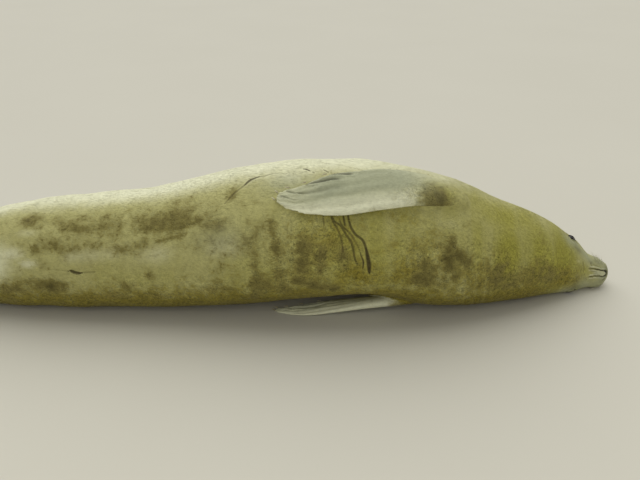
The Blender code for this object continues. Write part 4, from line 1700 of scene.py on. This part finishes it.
class Chart:
    """The unrolled plan of the skin: a wide sheet for the trunk and two for each flipper."""

    trunk_share = 0.70
    margin = 0.012
    longest = 2.70

    def __init__(self, skin: Skin) -> None:
        """Names the sheets: 0 is the trunk, then the upper and lower face of each flipper."""
        self.skin = skin
        self.count = 1 + 2 * len(FLIPPER_NODES)

    def sheet_of(self, points: Array, normals: Array) -> Array:
        """The sheet that each vertex of the skin lies on."""
        sheet = np.zeros(len(points), int)
        body = self.skin.body
        s = body.nose - points[:, 0]
        outward = dots(normals, unit(points - body.centre(s)) * (0, 1, 1))
        for number, name in enumerate(FLIPPER_NODES):
            mine = within(points, name, 0.01) & (self.skin.on_flipper > 0.5)
            facing = outward if self.skin.flippers[name].folded else normals[:, 2]
            sheet[mine] = 1 + 2 * number + (facing[mine] < 0)
        return sheet

    def spots(self, points: Array, turn: Array, sheet: Array) -> Array:
        """Places on the plan.

        Args:
            points: places on the skin.
            turn: their turns, not wrapped across a face.
            sheet: the sheet that each is drawn on.

        Returns:
            Rows of two numbers from 0 to 1.
        """
        body = self.skin.body
        s = body.nose - points[:, 0]
        off_axis = np.linalg.norm(points - body.centre(s), axis=1)
        length = s + 0.5 * np.minimum(off_axis, 0.05)
        spots = np.stack([length / self.longest, (turn + 180) / 360], axis=1)
        spots[:, 1] = self.margin + (1 - 2 * self.margin) * spots[:, 1]
        spots[:, 1] *= self.trunk_share
        wide, tall = 1 / len(FLIPPER_NODES), (1 - self.trunk_share) / 2
        for number, name in enumerate(FLIPPER_NODES):
            for face in (0, 1):
                mine = sheet == 1 + 2 * number + face
                share, across = self.skin.flippers[name].locate(points[mine])
                spots[mine, 0] = number * wide + wide * (0.04 + 0.92 * np.clip(share, 0, 1))
                low = self.trunk_share + face * tall
                spots[mine, 1] = low + tall * (0.5 + 0.46 * np.clip(across, -1.05, 1.05))
        return spots


# ---- the coat ----
@dataclass(frozen=True)
class Lie:
    """How the fur grows on one part of the body: its tufts' size and how closely they stand."""

    piece: str
    density: float
    length: float
    width: float
    slot: str = "coat"
    start: float = 0.0
    stop: float = 9.0
    flippers: tuple[str, ...] = ()


@dataclass
class Roots:
    """Where the tufts of one piece grow from the skin."""

    corners: Array
    weights: Array
    places: Array
    normals: Array

    def blend(self, values: Array) -> Array:
        """What numbers at the skin's vertices come to at each root."""
        return dots(self.weights, values[self.corners])

    def only(self, kept: Array) -> "Roots":
        """The roots that are kept."""
        held = (self.corners, self.weights, self.places, self.normals)
        return Roots(*(each[kept] for each in held))


@dataclass
class Coat:
    """Tufts of short fur that lie back along the body, over the whole skin."""

    skin: Skin
    lies: tuple[Lie, ...] = (
        Lie("coat_head", 95000, 0.0075, 0.0015, stop=0.26),
        Lie("coat_neck", 36000, 0.0125, 0.0022, start=0.26, stop=0.72),
        Lie("coat_chest", 30000, 0.0140, 0.0024, start=0.72, stop=1.16),
        Lie("coat_belly", 30000, 0.0140, 0.0024, start=1.16, stop=1.66),
        Lie("coat_hips", 30000, 0.0135, 0.0024, start=1.66),
        Lie("coat_fore_flippers", 52000, 0.0085, 0.0016, "flipper_coat", flippers=FORE),
        Lie("coat_hind_flippers", 52000, 0.0080, 0.0016, "flipper_coat", flippers=HIND),
    )
    # Distances behind the nose tip, and the share of its full size that a tuft has there.
    grown: Knots = ((0.0, 0.42), (0.05, 0.52), (0.20, 0.90), (0.30, 1.0))
    uneven: tuple[float, float] = (0.75, 1.25)
    rise: float = 0.055
    uneven_rise: tuple[float, float] = (0.4, 1.3)
    sway: float = 0.20
    most_lift: float = 0.0014
    sunk: float = 0.0005
    floor_gap: float = 0.0002
    own_shade: float = 0.28
    map_edge: float = 0.004
    quick_share: float = 0.15
    seed: int = 3

    def build(self) -> list[Object]:
        """Makes every piece of the coat."""
        self._read_skin()
        rng = np.random.default_rng(self.seed)
        return [self._piece(lie, rng) for lie in self.lies]

    def _read_skin(self) -> None:
        """Reads the skin's triangles and what lies on its vertices."""
        mesh = self.skin.mesh
        self.corners = triangles_of(mesh)
        self.points, self.normals = corners_of(mesh), normals_of(mesh)
        self.tree = BVHTree.FromPolygons(
            self.points.tolist(), self.corners.tolist(), all_triangles=True
        )
        a, b, c = (self.points[self.corners[:, i]] for i in range(3))
        self.areas = np.linalg.norm(np.cross(b - a, c - a), axis=1) / 2
        self.chart = Chart(self.skin)
        self.sheet = self.chart.sheet_of(self.points, self.normals)
        self.middle_s = self.skin.s[self.corners].mean(axis=1)
        self.bare = self.skin.bare[self.corners].max(axis=1)

    def _faces(self, lie: Lie) -> Array:
        """The skin's triangles that one piece covers."""
        sheet = self.sheet[self.corners[:, 0]]
        if lie.flippers:
            numbers = [FLIPPER_NODES.index(name) for name in lie.flippers]
            mine = np.isin((sheet - 1) // 2, numbers) & (sheet > 0)
        else:
            mine = (sheet == 0) & (self.middle_s >= lie.start) & (self.middle_s < lie.stop)
        return np.flatnonzero(mine & (self.bare < 0.5))

    def _sow(self, lie: Lie, rng: np.random.Generator) -> Roots:
        """Draws the places where one piece's tufts grow, evenly over its triangles."""
        faces = self._faces(lie)
        areas = self.areas[faces]
        share = 1.0
        count = int(areas.sum() * lie.density * share)
        drawn = np.searchsorted(np.cumsum(areas) / areas.sum(), rng.random(count))
        corners = self.corners[faces[drawn.clip(0, len(faces) - 1)]]
        weights = rng.dirichlet((1, 1, 1), count)
        places = np.einsum("ij,ijk->ik", weights, self.points[corners])
        normals = np.einsum("ij,ijk->ik", weights, self.normals[corners])
        return Roots(corners, weights, places, unit(normals))

    def _piece(self, lie: Lie, rng: np.random.Generator) -> Object:
        """One piece of the coat.

        Args:
            lie: where it grows and how.
            rng: the seeded source of its unevenness.

        Returns:
            The piece's object.
        """
        roots = self._sow(lie, rng)
        count = len(roots.places)
        size = np.interp(roots.blend(self.skin.s), *np.transpose(self.grown))
        if lie.flippers:
            size = np.ones(count)
        lengths = lie.length * size * rng.uniform(*self.uneven, count)
        widths = lie.width * (0.4 + 0.6 * size) * rng.uniform(*self.uneven, count)
        back = self._directions(roots, rng)
        lift = self.rise * rng.uniform(*self.uneven_rise, count)
        tufts = self._tufts(roots, back, lengths[:, None], widths[:, None], lift[:, None])
        kept = self._clear(tufts)
        if lie.flippers or lie.start < EAR_PLACE:
            kept &= gather(tufts[:, 4], self.tree, 0.01) < self.most_lift
        mesh = bpy.data.meshes.new(lie.piece)
        self._fill(mesh, tufts[kept])
        self._dress(mesh, lie, roots.only(kept), rng)
        piece = linked(lie.piece, mesh)
        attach(piece, ROOT)
        log.info("%s: %d tufts, %d triangles", lie.piece, kept.sum(), len(mesh.polygons))
        return piece

    def _directions(self, roots: Roots, rng: np.random.Generator) -> Array:
        """Which way the tufts lie: back to the tail, swaying gently."""
        x, y, z = roots.places.T
        tailward = np.tile([-1.0, 0.0, 0.0], (len(x), 1))
        outward = (roots.places - self.skin.body.centre(self.skin.body.nose - x)) * (0, 1, 1)
        tailward += 0.9 * unit(outward) * np.maximum(roots.normals[:, :1], 0) ** 2
        back = unit(tailward - roots.normals * dots(tailward, roots.normals)[:, None])
        beside = np.cross(roots.normals, back)
        drift = 0.18 * np.sin(x * 21.0 + z * 17.0) + 0.12 * np.sin(x * 53.0 - y * 40.0)
        angle = (drift + self.sway * rng.normal(size=len(x)))[:, None]
        return back * np.cos(angle) + beside * np.sin(angle)

    def _tufts(
        self, roots: Roots, back: Array, lengths: Array, widths: Array, lift: Array
    ) -> Array:
        """Shapes the tufts.

        Args:
            roots: where they grow.
            back: which way they lie.
            lengths: how long each is.
            widths: how wide each is.
            lift: how steeply each rises, as a share of its length.

        Returns:
            Five points for each tuft: its root, a flat ridge of three, and its tip.
        """
        places, normals = roots.places, roots.normals
        beside = np.cross(normals, back)
        root = places - normals * self.sunk
        middle = places + back * lengths * 0.40 + normals * (lengths * lift * 0.4 - 0.0001)
        left = middle - beside * widths / 2
        right = middle + beside * widths / 2
        crest = middle + normals * np.minimum(widths * 0.22, 0.0005)
        tip = places + back * lengths + normals * (lengths * lift)
        tufts = np.stack([root, left, crest, right, tip], axis=1)
        tufts[:, :, 2] = np.maximum(tufts[:, :, 2], self.floor_gap + 0.00005 * np.arange(5))
        return tufts

    def _clear(self, tufts: Array) -> Array:
        """Whether each tuft stays clear of the scars and creases."""
        crossed = np.zeros(len(tufts), bool)
        for corner in (0, 2, 4):
            crossed |= self.skin.markings.on_line(*self.skin.body.locate(tufts[:, corner]))
        return ~crossed

    def _fill(self, mesh: Mesh, tufts: Array) -> None:
        """Makes the closed, spindle-shaped tufts: six triangles on five points each."""
        pattern = [(0, 1, 2), (0, 2, 3), (0, 3, 1), (4, 2, 1), (4, 3, 2), (4, 1, 3)]
        first = 5 * np.arange(len(tufts), dtype=np.int32)[:, None, None]
        faces = (np.array(pattern, np.int32) + first).reshape(-1, 3)
        mesh.vertices.add(5 * len(tufts))
        mesh.vertices.foreach_set("co", tufts.astype(np.float32).ravel())
        mesh.loops.add(len(faces) * 3)
        mesh.loops.foreach_set("vertex_index", faces.ravel())
        mesh.polygons.add(len(faces))
        starts = np.arange(0, len(faces) * 3, 3, dtype=np.int32)
        mesh.polygons.foreach_set("loop_start", starts)
        mesh.polygons.foreach_set("loop_total", np.full(len(faces), 3, np.int32))
        mesh.update(calc_edges=True)

    def _dress(
        self, mesh: Mesh, lie: Lie, roots: Roots, rng: np.random.Generator
    ) -> None:
        """Gives the tufts their markings, their soft shading and their places on the plan.

        Args:
            mesh: the piece's mesh, five vertices to a tuft.
            lie: where the piece grows.
            roots: the roots of its tufts.
            rng: the seeded source of unevenness.
        """
        for mark, values in self.skin.masks.items():
            held = np.clip(roots.blend(values), 0, 1)
            store_values(mesh, mark.value, np.repeat(held, 5))
        store_values(mesh, "tuft", np.repeat(rng.random(len(roots.places)), 5))
        store_map(mesh, self._spots(lie, roots)[loops_of(mesh)])
        dress(mesh, CoatFinish())
        own = normals_of(mesh).reshape(-1, 5, 3)
        soft = unit(roots.normals[:, None, :] + self.own_shade * own)
        mesh.normals_split_custom_set_from_vertices(soft.reshape(-1, 3))

    def _spots(self, lie: Lie, roots: Roots) -> Array:
        """Places of the tufts' points on the plan, a small patch for each tuft."""
        first = roots.corners[:, 0]
        turn = self.skin.turn[first]
        turn = turn + turn_gap(self.skin.body.locate(roots.places)[1] - turn, 0.0)
        spots = self.chart.spots(roots.places, turn, self.sheet[first])
        if not lie.flippers:
            spots[:, 1] /= self.chart.trunk_share
        for column in (0, 1) if lie.flippers else (0,):
            low, wide = spots[:, column].min(), np.ptp(spots[:, column])
            spots[:, column] = (spots[:, column] - low) / wide
        spots = self.map_edge + (1 - 2 * self.map_edge) * np.clip(spots, 0, 1)
        patch = np.array([(-0.5, 0.0), (0.0, 0.5), (0.1, 0.05), (0.0, -0.5), (0.5, 0.0)])
        return (spots[:, None, :] + PATCH * patch[None]).reshape(-1, 2)


# ---- eyes, claws and whiskers ----
def ring(spot: Array, size: float, sides: int, beside: Array, over: Array) -> Array:
    """Corners of a ring round a spot, through two directions across it."""
    angles = np.arange(sides) * math.tau / sides
    return spot + size * (np.outer(np.cos(angles), beside) + np.outer(np.sin(angles), over))


def tubes(name: str, grown: list[list[Array]]) -> Mesh:
    """A mesh of closed tubes, each given by its rings, whose vertices say how far along it."""
    shape = bmesh.new()
    along: list[float] = []
    for rows in grown:
        rings = [[shape.verts.new(tuple(point)) for point in row] for row in rows]
        for near, far in zip(rings[:-1], rings[1:]):
            for i in range(len(near)):
                j = (i + 1) % len(near)
                shape.faces.new((near[i], near[j], far[j], far[i]))
        shape.faces.new(rings[0][::-1])
        shape.faces.new(rings[-1])
        along += list(np.repeat(np.linspace(0, 1, len(rings)), len(rings[0])))
    bmesh.ops.recalc_face_normals(shape, faces=shape.faces)
    mesh = mesh_from(shape, name)
    store_values(mesh, "along", along)
    return mesh


@dataclass
class Eyeball:
    """One eye: a ball with a slightly bulging clear front."""

    seat: EyeSeat
    segments: int = 96
    rings: int = 48
    bulge: float = 0.0007
    # How directly a place must face forward for the bulge to begin there and to be full.
    bulge_from: tuple[float, float] = (0.72, 0.95)

    def build(self) -> Object:
        """Makes the eye and sets it in its seat."""
        seat = self.seat
        shape = bmesh.new()
        bmesh.ops.create_uvsphere(
            shape, u_segments=self.segments, v_segments=self.rings, radius=seat.radius
        )
        turn_to = Vector(seat.out).to_track_quat("Z", "Y").to_matrix()
        bmesh.ops.rotate(shape, verts=shape.verts, cent=(0, 0, 0), matrix=turn_to)
        mesh = mesh_from(shape, f"eyeball_{seat.side}")
        points = corners_of(mesh)
        front = unit(points) @ seat.out
        bulged = 1 + self.bulge / seat.radius * ramp(front, *self.bulge_from)
        points = points * bulged[:, None] * ((seat.radius - self.bulge) / seat.radius)
        place_vertices(mesh, points + seat.centre)
        store_values(mesh, "off_axis", np.sqrt(np.clip(1 - front**2, 0, 1)))
        dress(mesh, EyeFinish())
        piece = linked(f"eyeball_{seat.side}", mesh)
        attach(piece, ROOT)
        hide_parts(f"eye_{seat.side}")
        return piece


@dataclass
class Claws:
    """Twenty short curved claws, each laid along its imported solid."""

    nodes: dict[str, Object]
    sides: int = 14
    steps: int = 12
    curl: float = 0.0012
    root_reach: float = 0.0015
    # The least and most radius that is read from a packed claw, and the share of it used.
    radii: tuple[float, float] = (0.0012, 0.0028)
    fullness: float = 0.78
    flatness: float = 0.8
    tip: float = 0.00012
    floor_gap: float = 0.0002
    # Which way the upper side of a claw faces, and of one on the folded fore flipper.
    upward: Place = (0.0, 0.0, 1.0)
    folded_upward: Place = (0.0, -0.75, 0.66)

    def build(self) -> list[Object]:
        """Makes every claw."""
        names = sorted(name for name in self.nodes if name.startswith("claw_"))
        return [self._claw(name) for name in names]

    def _claw(self, name: str) -> Object:
        """One claw."""
        mesh = tubes(name.replace("claw", "nail"), [self._rings(name)])
        dress(mesh, HornFinish())
        piece = linked(name.replace("claw", "nail"), mesh)
        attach(piece, ROOT)
        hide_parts(name)
        return piece

    def _rings(self, name: str) -> list[Array]:
        """Rings of a round, slightly flattened cone that curls down to its tip."""
        points = corners_of(self.nodes[name].data)
        middle = points.mean(axis=0)
        axis = np.linalg.svd(points - middle)[2][0]
        axis = axis if axis[0] < 0 else -axis
        along = (points - middle) @ axis
        start, stop = along.min() - self.root_reach, along.max()
        off = np.linalg.norm(points - middle - along[:, None] * axis, axis=1)
        radius = self.fullness * float(np.clip(off[along < 0].max(), *self.radii))
        folded = "right" in name and "hind" not in name
        up = np.array(self.folded_upward if folded else self.upward)
        up = unit(up - axis * (up @ axis))
        beside = np.cross(axis, up)
        rows = []
        for t in np.linspace(0, 1, self.steps):
            size = radius * (1 - t**1.8) ** 0.75 + self.tip
            curl = self.curl * (math.sin(math.pi * t * 0.8) - 0.4)
            spot = middle + axis * (start + (stop - start) * t) + up * curl
            row = ring(spot, size, self.sides, beside, self.flatness * up)
            rows.append(np.maximum(row, (-np.inf, -np.inf, self.floor_gap)))
        return rows


@dataclass
class Whiskers:
    """Short stiff bristles on both sides of the muzzle and a few over each eye."""

    skin: Skin
    sides: int = 5
    steps: int = 9
    thickness: float = 0.0007
    floor_gap: float = 0.0012
    # The length of the foremost bristles, and how much longer one a metre behind would be.
    first_length: float = 0.016
    lengthening: float = 0.75
    uneven: tuple[float, float] = (0.8, 1.2)
    # The bristles over the eye, as distance behind the nose tip and turn from the chin.
    brow: Knots = ((0.118, 112), (0.124, 118), (0.116, 120))
    brow_length: float = 0.018
    seed: int = 5

    def build(self) -> list[Object]:
        """Makes the whiskers of both sides."""
        return [self._side(name, sign) for name, sign in (("right", 1), ("left", -1))]

    def _side(self, name: str, sign: int) -> Object:
        """The whiskers of one side, as one piece."""
        rng = np.random.default_rng(self.seed)
        skin = self.skin
        grown = []
        for at, turn in skin.follicles():
            length = self.first_length + self.lengthening * (at - 0.020)
            grown.append((at, turn, length * rng.uniform(*self.uneven)))
        for at, turn in self.brow:
            grown.append((at, turn, self.brow_length * rng.uniform(*self.uneven)))
        bristles = []
        for at, turn, length in grown:
            arc = np.radians(turn_gap(skin.turn, sign * turn)) * skin.body.girth(skin.s)
            root = int(np.argmin(np.hypot(skin.s - at, arc)))
            place, normal = skin.mesh_points[root], skin.mesh_normals[root]
            bristles.append(self._bristle(place, normal, length, rng))
        mesh = tubes(f"whiskers_{name}", bristles)
        dress(mesh, WhiskerFinish())
        piece = linked(f"whiskers_{name}", mesh)
        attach(piece, ROOT)
        return piece

    def _bristle(
        self, root: Array, normal: Array, length: float, rng: np.random.Generator
    ) -> list[Array]:
        """Rings round one bristle, which leaves the skin slanting and bends back along it."""
        back = unit(np.array([-1.0, 0.0, 0.0]) - normal * -normal[0])
        back = unit(back + 0.22 * rng.normal(size=3))
        rows = []
        for t in np.linspace(0, 1, self.steps):
            spot = root + length * ((0.62 * t - 0.30 * t**2) * normal + 0.80 * t * back)
            spot = spot - 0.001 * (t == 0) * normal
            spot[2] = max(spot[2], self.floor_gap)
            axis = unit(back + (0.62 - 0.6 * t) * normal)
            side = unit(np.cross(axis, (0.13, 0.71, 0.69)))
            size = self.thickness / 2 * (1 - 0.8 * t)
            rows.append(ring(spot, size, self.sides, side, np.cross(axis, side)))
        return rows


# ---- the studio ----
@dataclass
class Studio:
    """A plain pale floor, soft light from above and behind, and the camera."""

    body: Body
    camera_from_nose: float = 0.985
    camera_from_chest: float = 1.5736
    camera_height: float = 1.19
    look_down: float = 28.5
    focal_length: float = 36.0
    film_width: float = 36.0
    floor_reach: float = 40.0
    sky_from: Place = (-0.12, 0.62, 1.0)
    sky_tint: Colour = (1.0, 0.995, 0.95)
    sky_strength: float = 1.95
    sky_width: float = 90.0
    fill_strength: float = 0.42
    # The soft light in front: where it is and faces, its width and height, watts and colour.
    front_at: Place = (-0.6, -3.4, 2.6)
    front_to: Place = (0.0, 0.0, 0.15)
    front_size: tuple[float, float] = (3.6, 2.2)
    front_power: float = 20.0
    front_tint: Colour = (1.0, 0.99, 0.96)

    def build(self) -> None:
        """Makes the floor, the lights and the camera."""
        self._floor()
        self._sky_light()
        self._front_light()
        self._fill_light()
        bpy.context.scene.view_settings.view_transform = "Standard"
        self._camera()

    def _floor(self) -> None:
        """A flat floor that reaches beyond the view."""
        shape = bmesh.new()
        bmesh.ops.create_grid(shape, x_segments=8, y_segments=8, size=self.floor_reach)
        mesh = mesh_from(shape, "floor")
        mesh.materials.append(FloorFinish().material())
        linked("floor", mesh)

    def _lamp(self, light: bpy.types.Light, way: Vector) -> Object:
        """A lamp that shines one way."""
        lamp = linked(light.name, light)
        lamp.rotation_euler = way.to_track_quat("-Z", "Y").to_euler()
        return lamp

    def _sky_light(self) -> None:
        """Broad, even light from above and a little behind, as from a bright overcast sky."""
        light = bpy.data.lights.new("sky", "SUN")
        light.energy = self.sky_strength
        light.angle = math.radians(self.sky_width)
        light.color = self.sky_tint
        self._lamp(light, -Vector(self.sky_from))

    def _front_light(self) -> None:
        """A weak, soft rectangular light in front of the seal."""
        light = bpy.data.lights.new("front", "AREA")
        light.shape = "RECTANGLE"
        light.size, light.size_y = self.front_size
        light.energy = self.front_power
        light.color = self.front_tint
        lamp = self._lamp(light, Vector(self.front_to) - Vector(self.front_at))
        lamp.location = self.front_at

    def _fill_light(self) -> None:
        """Weak light from everywhere."""
        world = bpy.data.worlds.new("studio")
        world.use_nodes = True
        fill = world.node_tree.nodes["Background"]
        fill.inputs["Color"].default_value = (*self.sky_tint, 1.0)
        fill.inputs["Strength"].default_value = self.fill_strength
        bpy.context.scene.world = world

    def _camera(self) -> None:
        """The camera, level with the ground from side to side, before the seal's belly."""
        lens = bpy.data.cameras.new("camera")
        lens.lens = self.focal_length
        lens.sensor_width = self.film_width
        camera = linked("camera", lens)
        chest_low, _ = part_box("chest")
        camera.location = (
            self.body.nose - self.camera_from_nose,
            chest_low.y - self.camera_from_chest,
            self.camera_height,
        )
        camera.rotation_euler = (math.radians(90 - self.look_down), 0.0, 0.0)
        bpy.context.scene.camera = camera


def main() -> None:
    """Builds the seal's looks piece by piece."""
    logging.basicConfig(level=logging.INFO, format="%(relativeCreated)d ms %(message)s")
    body = Body(frame["nodes"])
    flippers = {name: Flipper(name, body) for name in FLIPPER_NODES}
    seats = tuple(EyeSeat(side, body) for side in ("right", "left"))
    log.info("measured the frame: %d rings", len(body.stops))
    skin = Skin(body, flippers, seats, Markings(body))
    piece = skin.build()
    log.info("%s: %d faces", piece.name, len(skin.mesh.polygons))
    for piece in Coat(skin).build():
        log.info("%s made", piece.name)
    for seat in seats:
        log.info("%s made", Eyeball(seat).build().name)
    log.info("%d claws made", len(Claws(frame["nodes"]).build()))
    for piece in Whiskers(skin).build():
        log.info("%s made", piece.name)
    Studio(body).build()
    log.info("studio made")


if __name__ == "__main__":
    main()
